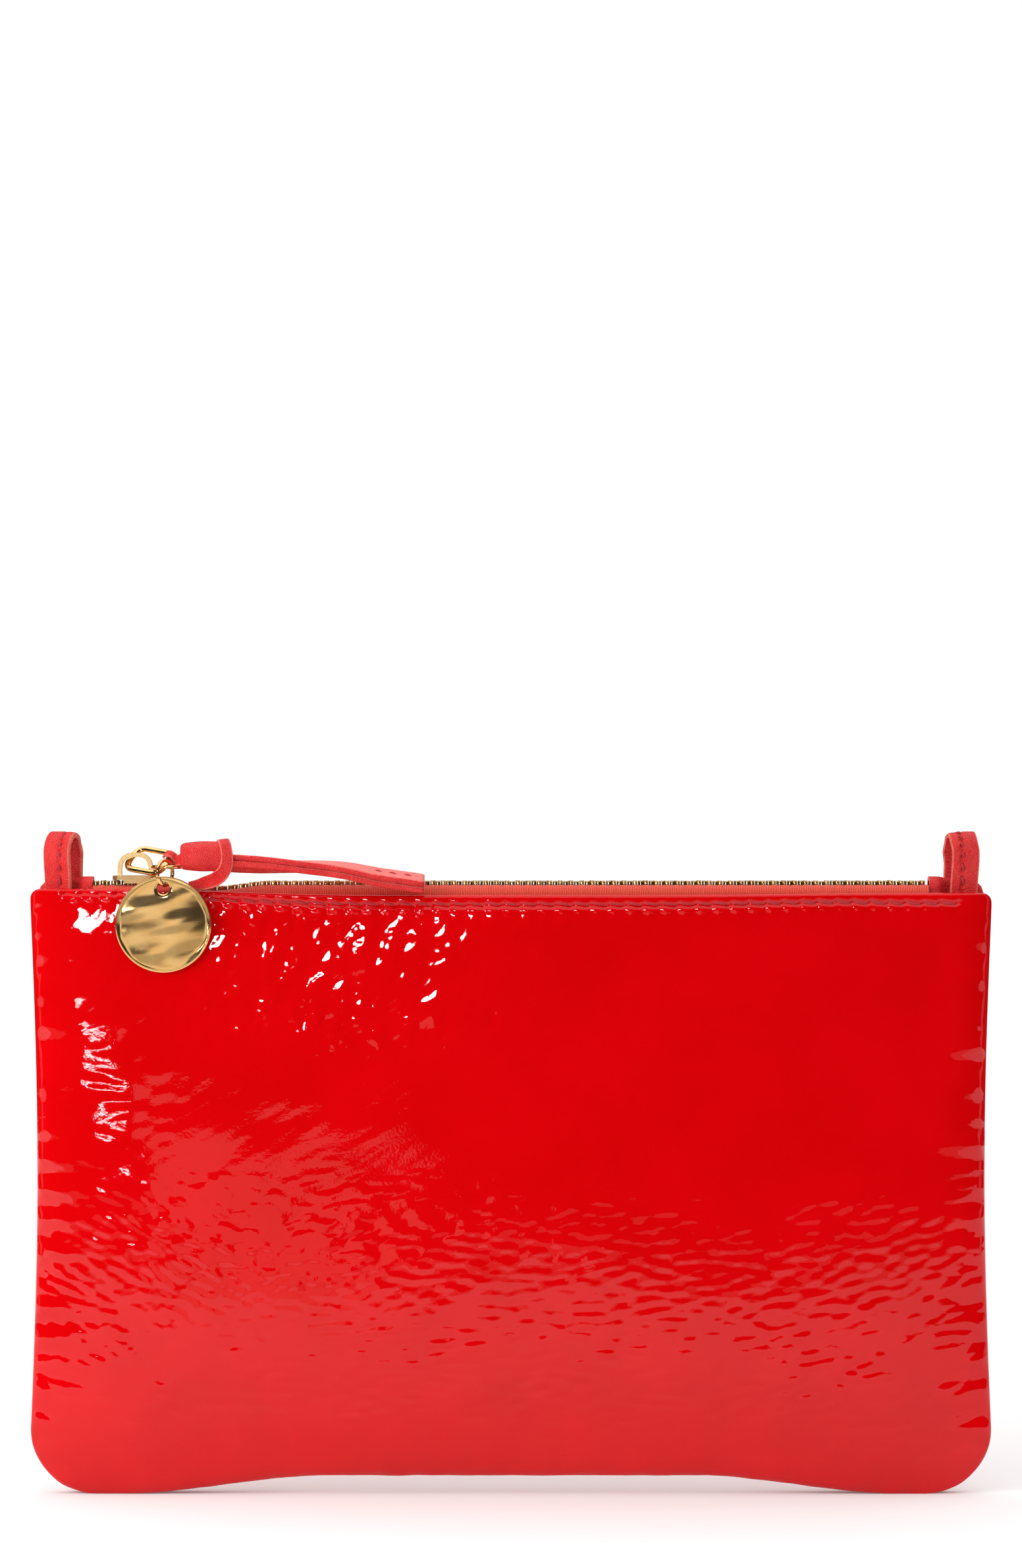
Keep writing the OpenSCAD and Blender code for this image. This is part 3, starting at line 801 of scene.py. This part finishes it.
def make_rings():
    yaw = math.radians(57)
    make_jump_ring("upper_jump_ring", "ring", "link_ring", (-81.6, -5.4, 149.2), 3.4,
                   (1, 0, 0), (0, 1, 0), 60)
    make_jump_ring("lower_jump_ring", "hanger", "disc_ring", (-81.95, -8.9, 147.9), 2.95,
                   (math.cos(yaw), math.sin(yaw), 0), (0, 0, 1), 200)


def make_disc():
    """A polished disc: slightly domed, wavy as pressed sheet is, with a rolled rim and a hole."""
    radius, thick, hole_r, hole_up = 11.4, 1.1, 1.5, 8.8
    centre, lean = np.array(DISC_AT), math.radians(DISC_LEAN)
    turns = np.linspace(0, 2 * math.pi, 96, endpoint=False)
    shares = np.concatenate([[0, 0.004, 0.02], np.linspace(0.05, 0.93, 30),
                             [0.95, 0.965, 0.98, 0.99, 0.997, 1.0]])
    front, back = [], []
    for t in shares:
        for a in turns:
            r = hole_r + (radius - hole_r) * t
            px, pz = r * math.cos(a), r * math.sin(a) + hole_up * (1 - t)
            wave = (0.050 * math.sin(0.62 * pz + 0.18 * px + 0.5)
                    + 0.035 * math.sin(1.15 * pz - 0.33 * px + 1.7)
                    + 0.03 * math.sin(0.47 * px - 0.3 * pz))
            dome = -0.0024 * (px * px + pz * pz) + 0.2
            rim = 0.12 * math.exp(-((radius - math.hypot(px, pz)) / 0.5)**2)
            off = min((1 - t) * (radius - hole_r), t * 9)
            edge = 1 if off > 0.35 else math.sqrt(max(0.0, 1 - (1 - off / 0.35)**2))
            calm = smooth((radius - math.hypot(px, pz)) / 1.5)
            face = thick / 2 * (0.25 + 0.75 * edge) + (dome + wave) * calm + rim
            front.append((px, -face, pz))
            back.append((px, thick / 2 * (0.25 + 0.75 * edge) - (dome + wave) * calm * 0.6, pz))
    points = np.array(front + back)
    ids = np.arange(len(points)).reshape(2, len(shares), len(turns))
    faces = grid_faces(ids[0], wrap=True) + grid_faces(ids[1], wrap=True)
    for row in (0, -1):
        faces += grid_faces(np.array([ids[0, row], ids[1, row]]), wrap=True)
    y, z = points[:, 1].copy(), points[:, 2].copy()
    points[:, 1] = y * math.cos(lean) + z * math.sin(lean)
    points[:, 2] = z * math.cos(lean) - y * math.sin(lean)
    obj = mesh_object("plain_disc", points + centre, faces, GOLD)
    face_outwards(obj)
    return ride(obj, "disc", "gold_metal", "hanging_disc")


make_link()
make_rings()
make_disc()


# ---- leather loops, tabs and the pull's thong ----------------------------------------------
def band_section(width, thick, corner=0.35, groove=0.0, groove_at=0.0, layers=0.0):
    """A strap's cross-section as (across, out) offsets, anticlockwise from the lower right.
    groove is the depth of a stitched channel in the outer face, and layers the depth of the
    slit between two plies, seen on both raw edges."""
    w, t = width / 2, thick / 2
    out = []
    for cx, cy, first in ((1, -1, -90), (1, 1, 0), (-1, 1, 90), (-1, -1, 180)):
        for a in np.radians(np.linspace(first, first + 90, 4)):
            out.append((cx * (w - corner) + corner * math.cos(a), cy * (t - corner) + corner * math.sin(a)))
        if first in (-90, 90):
            notch = ((0, -0.18), (-layers, 0), (0, 0.18))
            sign = cx
            out += [(sign * (w + dx), sign * dy) for dx, dy in notch]
        if first == 0:
            for u in np.linspace(w - 2 * corner, 2 * corner - w, 17):
                out.append((u, t - groove * math.exp(-((u - groove_at) / 0.42)**2)))
        if first == 180:
            out += [(u, -t) for u in np.linspace(2 * corner - w, w - 2 * corner, 7)]
    return out


def strap_slots(ids, section, width):
    """Faces on a strap's raw edges get material 1, the others 0."""
    count = len(section)
    across = [abs(section[k][0] + section[(k + 1) % count][0]) / 2 for k in range(count)]
    return [1 if a > width / 2 - 0.3 else 0 for a in across] * (len(ids) - 1)


def frame_along(points, side):
    """(point, side, up) along a path. side(i) gives roughly where the strap's width points."""
    points = np.asarray(points, float)
    tangent = np.gradient(points, axis=0)
    tangent /= np.linalg.norm(tangent, axis=1, keepdims=True)
    out = []
    for i, (p, t) in enumerate(zip(points, tangent)):
        s = np.asarray(side(i), float)
        s = s - t * s.dot(t)
        s /= np.linalg.norm(s)
        out.append((p, s, np.cross(s, t)))
    return out


def resampled(points, count):
    """A smooth curve through the points, by Catmull-Rom, with count places along it."""
    points = np.asarray(points, float)
    padded = np.vstack([2 * points[0] - points[1], points, 2 * points[-1] - points[-2]])
    out = []
    for s in np.linspace(0, len(points) - 1, count):
        i = min(int(s), len(points) - 2)
        a, b, c, d = padded[i:i + 4]
        t = s - i
        out.append(0.5 * (2 * b + (c - a) * t + (2 * a - 5 * b + 4 * c - d) * t**2
                          + (3 * b - a - 3 * c + d) * t**3))
    return np.array(out)


def strap(name, path, sections, width, materials=None):
    """A closed strap along path, with end faces of raw leather."""
    points, faces, ids = sweep(path, sections)
    slots = strap_slots(ids, sections[0], width)
    faces += [ids[0].tolist(), ids[-1].tolist()]
    obj = mesh_object(name, points, faces, *(materials or (LEATHER, RAW)), slots=slots + [1, 1])
    face_outwards(obj)
    return obj


def drop_outline(inset=0.0, count=72):
    """The loop's outline in its own plane, from one foot over the top to the other foot."""
    half, top, pinch = 4.4 - inset, 157.6 - inset, 3.8 - inset
    right = [(pinch, 140.2)]
    right += [(pinch + (half - pinch) * smooth(t), 142.5 + 9.1 * t) for t in np.linspace(0, 1, 6)]
    right += [(half * math.cos(a), 151.6 + (top - 151.6) * math.sin(a))
              for a in np.radians(np.arange(15, 91, 15))]
    both = right + [(-y, z) for y, z in right[-2::-1]]
    return resampled(both, count)


def make_loop(word, x, yaw, inner_side):
    """A strap loop of leather with a stitched row near its raw inner edge."""
    turn = math.radians(yaw)
    across = np.array([math.cos(turn), math.sin(turn), 0])
    forward = np.array([-math.sin(turn), math.cos(turn), 0])
    outline = drop_outline(0.75)
    places = [np.array([x, 0, 0]) + forward * y + np.array([0, 0, z]) for y, z in outline]
    path = [(p, s, -u) if u.dot(p - np.array([x, 0, 149.5])) < 0 else (p, s, u)
            for p, s, u in frame_along(places, lambda i: across)]
    width, at = 6.6, inner_side * 0.75
    chance = np.random.default_rng(int(abs(x)))
    knots = np.arange(0, len(path), 5)
    wobble = np.interp(np.arange(len(path)), knots, chance.normal(0, 0.10, len(knots)))
    sections = []
    for i in range(len(path)):
        pucker = 0.42 + 0.22 * math.cos(2 * math.pi * i * 0.36)
        row_at = at + 0.28 * math.sin(math.pi * i * 0.36)
        section = band_section(width, 1.5, 0.38, groove=pucker, groove_at=row_at)
        sections.append([(a + wobble[i] * (abs(a) > 2.9),
                          b - 0.22 * max(0, a * inner_side - at) / 2.4 * (b > 0)) for a, b in section])
    loop = strap(f"{word}_loop_band", path, sections, width)
    ride(loop, "pouch", "plain_leather", f"{word}_strap_loop")

    runs = []
    for i in range(6, len(path) - 8, 5):
        (a, s, u), (b, t, v) = path[i], path[i + 3]
        runs.append((a + s * (at - 0.28) + u * 0.62, b + t * (at + 0.28) + v * 0.62, u))
    row = stitches(f"{word}_loop_thread", runs, radius=0.27)
    ride(row, "pouch", "thread", f"{word}_loop_stitching")


def make_tab(word, side):
    """The leather tab folded over the end of the zip. Its rest is pressed flat and passes
    through the strap loop."""
    stations = [99.6, 99.75, 100.3, 101.2, 101.9, 102.6, 103.3, 104.2, 105.5, 107.5, 109.5, 111.2,
                112.2, 112.9]
    rings, count = [], 9
    for x in stations:
        pressed = smooth((x - 101.6) / 2.2)
        half = 3.6 + (0.95 - 3.6) * pressed
        top = 146.9 - 0.35 * pressed
        end = max(0.0, (x - 107.9) / 5.0)
        top -= 4.2 * (1 - math.sqrt(max(0.0, 1 - end * end)))
        foot = 140.4
        bend = min(half - 0.05, 2.4)
        arch = [(-half, foot + (top - bend - foot) * t) for t in np.linspace(0, 0.85, 5)]
        arch += [(-half + bend - bend * math.cos(a), top - bend + bend * math.sin(a))
                 for a in np.radians(np.linspace(0, 90, count))]
        arch += [(-y, z) for y, z in arch[-2::-1]]
        wall = min(1.0, half - 0.06)
        inner = [(y * (half - wall) / half, foot + (z - foot) * (top - wall - foot) / (top - foot))
                 for y, z in arch]
        rings.append((x, arch, inner[::-1]))
    points = [(side * x, y, z) for x, arch, inner in rings for y, z in arch + inner]
    ids = np.arange(len(points)).reshape(len(rings), -1)
    half_count = ids.shape[1] // 2
    faces = grid_faces(ids, wrap=True)
    slots = [0] * len(faces)
    for row, slot in ((ids[0], 1), (ids[-1], 1)):
        for k in range(half_count - 1):
            faces.append([row[k], row[k + 1], row[-k - 2], row[-k - 1]])
            slots.append(slot)
    obj = mesh_object(f"{word}_tab_fold", points, faces, LEATHER, RAW, slots=slots)
    face_outwards(obj)
    soften(obj, 0.00025, 3, 50)
    return ride(obj, "pouch", "plain_leather", f"{word}_end_tab")


def make_loops_and_tabs():
    make_loop("left", -106.7, -20, 1)
    make_loop("right", 107.3, 12, -1)
    make_tab("left", -1)
    make_tab("right", 1)


def make_tail():
    """The strip's two plies, edge on near the knot and flat side up at the end."""
    spine = [(-71.0, 150.3, 5.2, -18), (-68, 150.2, 5.6, -18), (-60, 149.8, 6.2, -14), (-50, 149.3, 6.6, 0),
             (-40, 148.5, 7, 10), (-31, 146.8, 7, 15), (-20.5, 145.3, 7, 15)]
    values = resampled(spine, 90)
    path, sections = [], []
    for i, (x, z, w, turn) in enumerate(values):
        a = math.radians(turn)
        path.append((np.array([x, -8.9, z]), np.array([0, math.cos(a), math.sin(a)]),
                     np.array([0, -math.sin(a), math.cos(a)])))
        open_up = 0.10 + 0.06 * math.sin(0.31 * i) + 0.05 * math.sin(0.83 * i + 1)
        cut = 0.05 * math.sin(0.9 * i) + 0.04 * math.sin(2.3 * i)
        section = band_section(w, 3.0, 0.40, layers=0.55 + 2 * open_up)
        sections.append([(b + cut * (b > 0) - cut * (b < 0), c) for b, c in section])
    for j, trim in ((-1, 0.35), (-2, 0.08)):
        sections[j] = [(b * (1 - trim * 0.10), c * (1 - trim * 0.25)) for b, c in sections[j]]
    tail = strap("thong_tail", path, sections, 6.0, (LEATHER, RAW, SUEDE))
    for poly in tail.data.polygons:
        if poly.material_index == 0 and poly.normal.z > 0.5:
            poly.material_index = 2
    return tail, path


def make_roll():
    """The knot's roll: a strap wound round the strip, open at the right where the strip leaves."""
    slots = []
    turns = np.linspace(math.radians(-250), math.radians(215), 84)
    along = np.linspace(0, 1, 22)
    thick, start, length = 1.25, -78.2, 10.9
    shell = []
    for k, a in enumerate(turns):
        grow = 0.40 * (a - turns[0]) / (turns[-1] - turns[0])
        for side in (0, 1):
            row = []
            for t in along:
                r = 3.15 + grow - side * thick
                bulge = 0.22 * math.sin(math.pi * t) - 0.25 * (max(0, 0.12 - t) / 0.12)**2
                edge = 0.28 * (1 - math.sqrt(max(0, 1 - (max(0, abs(t - 0.5) - 0.46) / 0.04)**2)))
                r = r * (0.93 + 0.07 * smooth(t / 0.5)) + (bulge - edge) * (side == 0) + edge * side * 0.6
                slant = 0.9 * math.cos(a - math.radians(60)) * (0.5 - t)
                row.append((start + length * t + slant * (t > 0.5) * -0.9,
                            -8.9 - r * math.cos(a), 151.7 + r * math.sin(a)))
            shell.append(row)
    shell = np.array(shell).reshape(len(turns), 2, len(along), 3)
    ids = np.arange(len(turns) * 2 * len(along)).reshape(len(turns), 2, len(along))
    loop = np.concatenate([ids[:, 0, :], ids[:, 1, ::-1]], axis=1)
    faces = grid_faces(loop, wrap=True)
    count = loop.shape[1]
    for _ in range(len(turns) - 1):
        slots += [1 if k in (len(along) - 1, count - 1) else 0 for k in range(count)]
    faces += [loop[0].tolist(), loop[-1].tolist()]
    slots += [1, 1]
    obj = mesh_object("thong_roll", shell.reshape(-1, 3), faces, LEATHER, RAW, slots=slots)
    face_outwards(obj)
    return obj


def make_turn():
    """The strap wraps over the roll's right end, comes down in front and turns left below it."""
    spine = [(-68.9, -6.3, 153.9), (-68.3, -8.6, 155.3), (-67.6, -11.2, 154.7), (-67.1, -12.4, 152.4),
             (-67.2, -11.9, 150.0), (-68.2, -10.5, 147.9), (-69.9, -9.0, 146.4), (-72.2, -7.7, 145.5),
             (-74.4, -6.9, 145.0), (-76.4, -6.4, 144.9)]
    places = resampled(spine, 64)
    share = np.linspace(0, 1, 64)
    widths = np.interp(share, [0, 0.35, 0.6, 0.8, 1], [2.6, 2.8, 3.4, 3.2, 1.6])
    tangent = np.gradient(places, axis=0)

    def side(i):
        across = np.array([-tangent[i][2], 0, tangent[i][0]]) / np.linalg.norm(tangent[i])
        turned = smooth((share[i] - 0.35) / 0.3)
        leaning = across + np.array([0, -0.25 * share[i], 0])
        return np.array([1, 0.05, 0.12]) * (1 - turned) + leaning * turned

    return strap("thong_turn", frame_along(places, side), [band_section(w, 1.15, 0.3) for w in widths], 2.6)


def make_neck():
    """A narrow strap from the roll to the link, with its end wrapped round the link's bar."""
    bar = LINK_O + LINK_U * 10.1 + LINK_V * 5.0
    places = [bar + 1.55 * (LINK_U * math.cos(a) + LINK_N * math.sin(a))
              for a in np.radians(np.linspace(150, -165, 30))]
    sections = [band_section(1.9, 0.6, 0.15)] * len(places)
    eye = strap("thong_eye", frame_along(places, lambda i: LINK_V), sections, 1.9)
    spine = [bar + LINK_U * 1.55, bar + LINK_U * 2.8 + np.array([0.2, -0.8, -0.3]), (-79.2, -6.2, 150.6),
             (-78.0, -8.2, 151.0), (-76.5, -8.9, 151.4)]
    places = resampled(spine, 26)
    widths = np.interp(np.linspace(0, 1, 26), [0, 0.4, 1], [1.6, 2.2, 3.4])

    def side(i):
        share = min(i, 8) / 8
        return LINK_V * (1 - share) + np.array([0.1, 0.2, 1]) * share

    path = frame_along(places, side)
    return eye, strap("thong_neck", path, [band_section(w, 1.1, 0.25) for w in widths], 1.8)


def make_thong():
    tail, path = make_tail()
    pieces = [tail, make_roll(), make_turn(), *make_neck()]
    for piece in pieces:
        ride(piece, "thong", "plain_leather", "pull_thong")
    runs = []
    for x in (-32.6, -28.9, -25.2):
        i = int(np.argmin([abs(p[0] - x) for p, _, _ in path]))
        (a, s, u), (b, _, _) = path[i], path[i + 3]
        runs.append((a + s * 0.2 + u * 1.5, b - s * 0.1 + u * 1.5, u))
    row = stitches("thong_thread", runs, radius=0.24)
    ride(row, "thong", "thread", "pull_stitching")


make_loops_and_tabs()
make_thong()


# ---- lining and card slots ----------------------------------------------------------------
def wall_at(half):
    return LEATHER_T + (SEAM_HALF - 0.1 - LEATHER_T) * np.clip(1 - (half - SEAM_HALF) / 2, 0, 1)


def lining_half(x, z):
    half = outer_half(x, z)
    return half - wall_at(half) - 0.25


def sheet_between(name, x, z, front, back, material):
    """A closed thin sheet over a grid of x and z, from depth front to depth back."""
    rows, columns = x.shape
    high = raised(x, z)
    points = np.concatenate([np.stack([x, y, high], -1).reshape(-1, 3) for y in (front, back)])
    ids = np.arange(len(points)).reshape(2, rows, columns)
    faces = grid_faces(ids[0]) + grid_faces(ids[1])
    rim = [np.concatenate([g[0], g[1:, -1], g[-1, -2::-1], g[-2:0:-1, 0]]) for g in ids]
    faces += grid_faces(np.array(rim), wrap=True)
    obj = mesh_object(name, points, faces, material)
    face_outwards(obj)
    return obj


def make_lining(word, side, seed):
    """Half of the cloth bag: sewn along three sides, hemmed and slack at the mouth."""
    z = np.repeat(np.linspace(3.2, 139.6, 61)[:, None], 121, 1)
    x = np.linspace(-1, 1, 121)[None, :] * (half_w(z) - 3.2)
    slack = 0.30 * (1 + waves(26, 80, 1.6, seed)(x, z))
    slack = slack * smooth((z - 10) / 30) * smooth((half_w(z) - 12 - np.abs(x)) / 12)
    hem = 0.12 * (near(z, 131.5, 0.8) - (z > 131.5))
    outer = np.maximum(lining_half(x, z) - 0.4 * np.clip(slack, 0, 1.2) + hem * 0.5, 0.45)
    inner = np.maximum(outer - 0.5, 0.03)
    obj = sheet_between(f"{word}_lining_cloth", x, z, side * outer, side * inner, CLOTH)
    halves = open_with_lip(obj, f"{word}_lip", "lining_cloth", f"{word}_lining")


def make_card_slots():
    """Two cloth pockets on the back lining, each with a turned and rolled top edge."""
    for word, top, inset in (("upper", 104.0, 0.12), ("lower", 92.0, 1.02)):
        heights = np.concatenate([np.linspace(38, top - 1, 40), top - np.array([0.7, 0.4, 0.15, 0])])
        z = np.repeat(heights[:, None], 87, 1)
        x = np.repeat(np.linspace(-86, 86, 87)[None, :], len(z), 0)
        behind = lining_half(x, z) - 1.05 - inset
        seam = 0.12 * near(z, top - 6, 0.5)
        round_top = 0.25 * smooth((z - top + 0.8) / 0.8)
        front = behind - 0.78 + seam + round_top
        obj = sheet_between(f"{word}_pocket", x, z, front, behind - round_top, CLOTH)
        for half in open_with_lip(obj, "back_lip", "lining_cloth", f"card_slot_{word}"):
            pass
    runs = []
    for z in np.arange(40, 90, 4.0):
        y = float(lining_half(np.array(0.0), np.array(z + 1.5))) - 1.05 - 1.02 - 0.80
        runs.append(((0, y, raised(0, z)), (0, y, raised(0, z + 3.0)), (0, -1, 0)))
    row = stitches("pocket_thread", runs, radius=0.22)
    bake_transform(row)
    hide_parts("card_slot_stitching")


make_lining("front", -1, 91)
make_lining("back", 1, 95)
make_card_slots()


# ---- stage and lights ---------------------------------------------------------------------
FLOOR_SIDE, FLOOR_FRONT, FLOOR_BACK = 0.9, -0.26, 0.9
SCREEN_R, SCREEN_SPREAD, SCREEN_STEPS = 1.9, 84, 29
SCREEN_FOOT, SCREEN_JOIN, SCREEN_TOP = -0.9, -0.22, 1.5
SURROUND_R = 8


def emission(name, colour, strength):
    material = bpy.data.materials.new(name)
    material.use_nodes = True
    nodes = material.node_tree.nodes
    nodes.clear()
    glow, out = nodes.new("ShaderNodeEmission"), nodes.new("ShaderNodeOutputMaterial")
    glow.inputs["Color"].default_value = (*colour, 1)
    glow.inputs["Strength"].default_value = strength
    material.node_tree.links.new(glow.outputs[0], out.inputs[0])
    return material


def stage_plane(name, corners, material):
    obj = mesh_object(name, np.array(corners) / MM, [range(len(corners))], material, smooth_faces=False)
    return obj


def seen_only_in_gloss(obj):
    obj.visible_camera = obj.visible_diffuse = obj.visible_shadow = False
    obj.visible_transmission = obj.visible_volume_scatter = False


def make_stage():
    """A pale floor, a white surround for the camera, and dark screens that only reflections see."""
    pale = Paint("pale_floor", Roughness=0.9, Specular_IOR_Level=0.0, Emission_Color=(1, 1, 1, 1),
                 Emission_Strength=0.1)
    pale.colour(pale.ramp(pale.noise(3, 2), (0.3, (0.77, 0.77, 0.77)), (0.7, (0.79, 0.79, 0.79))))
    stage_plane("floor", [(-FLOOR_SIDE, FLOOR_FRONT, 0), (FLOOR_SIDE, FLOOR_FRONT, 0),
                          (FLOOR_SIDE, FLOOR_BACK, 0), (-FLOOR_SIDE, FLOOR_BACK, 0)], pale.material)
    dark = emission("dark_screen", (1.0, 0.95, 0.9), 0.03)
    dim = emission("dim_screen", (1.0, 0.93, 0.84), 0.5)
    for word, centre in (("front", -90), ("back", 90)):
        angles = np.radians(np.linspace(centre - SCREEN_SPREAD, centre + SCREEN_SPREAD, SCREEN_STEPS))
        rings = [[(SCREEN_R * math.cos(a), SCREEN_R * math.sin(a), z) for a in angles]
                 for z in (SCREEN_FOOT, SCREEN_JOIN, SCREEN_TOP)]
        ids = np.arange(2 * len(angles)).reshape(2, -1)
        for part, low, high, material in (("low", 0, 1, dim), ("high", 1, 2, dark)):
            points = np.array(rings[low] + rings[high]) / MM
            screen = mesh_object(f"{word}_screen_{part}", points, grid_faces(ids), material)
            seen_only_in_gloss(screen)
    card = stage_plane("disc_card", [(-0.32, -1.8, -0.28), (-0.09, -1.8, -0.28), (-0.09, -1.8, 0.05),
                                     (-0.32, -1.8, 0.05)], emission("disc_card", (1.0, 0.93, 0.82), 0.95))
    seen_only_in_gloss(card)
    bpy.ops.mesh.primitive_uv_sphere_add(segments=48, ring_count=24, radius=SURROUND_R)
    surround = bpy.context.object
    surround.name = "surround"
    surround.data.materials.append(emission("surround", (1, 1, 1), 1.05))
    surround.visible_diffuse = surround.visible_glossy = surround.visible_shadow = False
    surround.visible_transmission = surround.visible_volume_scatter = False


def area_light(name, place, target, size, radiance, gloss=True, diffuse=True):
    data = bpy.data.lights.new(name, "AREA")
    data.shape = "RECTANGLE"
    data.size, data.size_y = size
    data.energy = radiance * math.pi * size[0] * size[1]
    light = bpy.data.objects.new(name, data)
    light.location = place
    light.rotation_euler = (Vector(target) - Vector(place)).to_track_quat("-Z", "Y").to_euler()
    light.visible_glossy = gloss
    light.visible_diffuse = diffuse
    light.visible_camera = False
    bpy.context.scene.collection.objects.link(light)


def make_lights():
    scene = bpy.context.scene
    scene.view_settings.view_transform = "Standard"
    world = bpy.data.worlds.new("white_room")
    world.use_nodes = True
    tree = world.node_tree
    tree.nodes["Background"].inputs["Color"].default_value = (1, 1, 1, 1)
    place = tree.nodes.new("ShaderNodeTexCoord")
    split = tree.nodes.new("ShaderNodeSeparateXYZ")
    level = tree.nodes.new("ShaderNodeMapRange")
    for key, value in (("From Min", -0.1), ("From Max", 1.0), ("To Min", 0.5), ("To Max", 1.5)):
        level.inputs[key].default_value = value
    tree.links.new(place.outputs["Generated"], split.inputs[0])
    tree.links.new(split.outputs["Z"], level.inputs["Value"])
    tree.links.new(level.outputs["Result"], tree.nodes["Background"].inputs["Strength"])
    scene.world = world
    area_light("side_fill", (-0.5, -0.35, 0.28), (0, 0, 0.08), (0.4, 0.4), 4.2, gloss=False)
    area_light("window", (-0.27, -1.35, 0.44), (0, 0, 0.1), (0.115, 0.115), 66.0, diffuse=False)
    area_light("left_strip", (-0.46, -1.45, 0.06), (0, 0, 0.1), (0.24, 0.018), 40.0, diffuse=False)


make_stage()
make_lights()
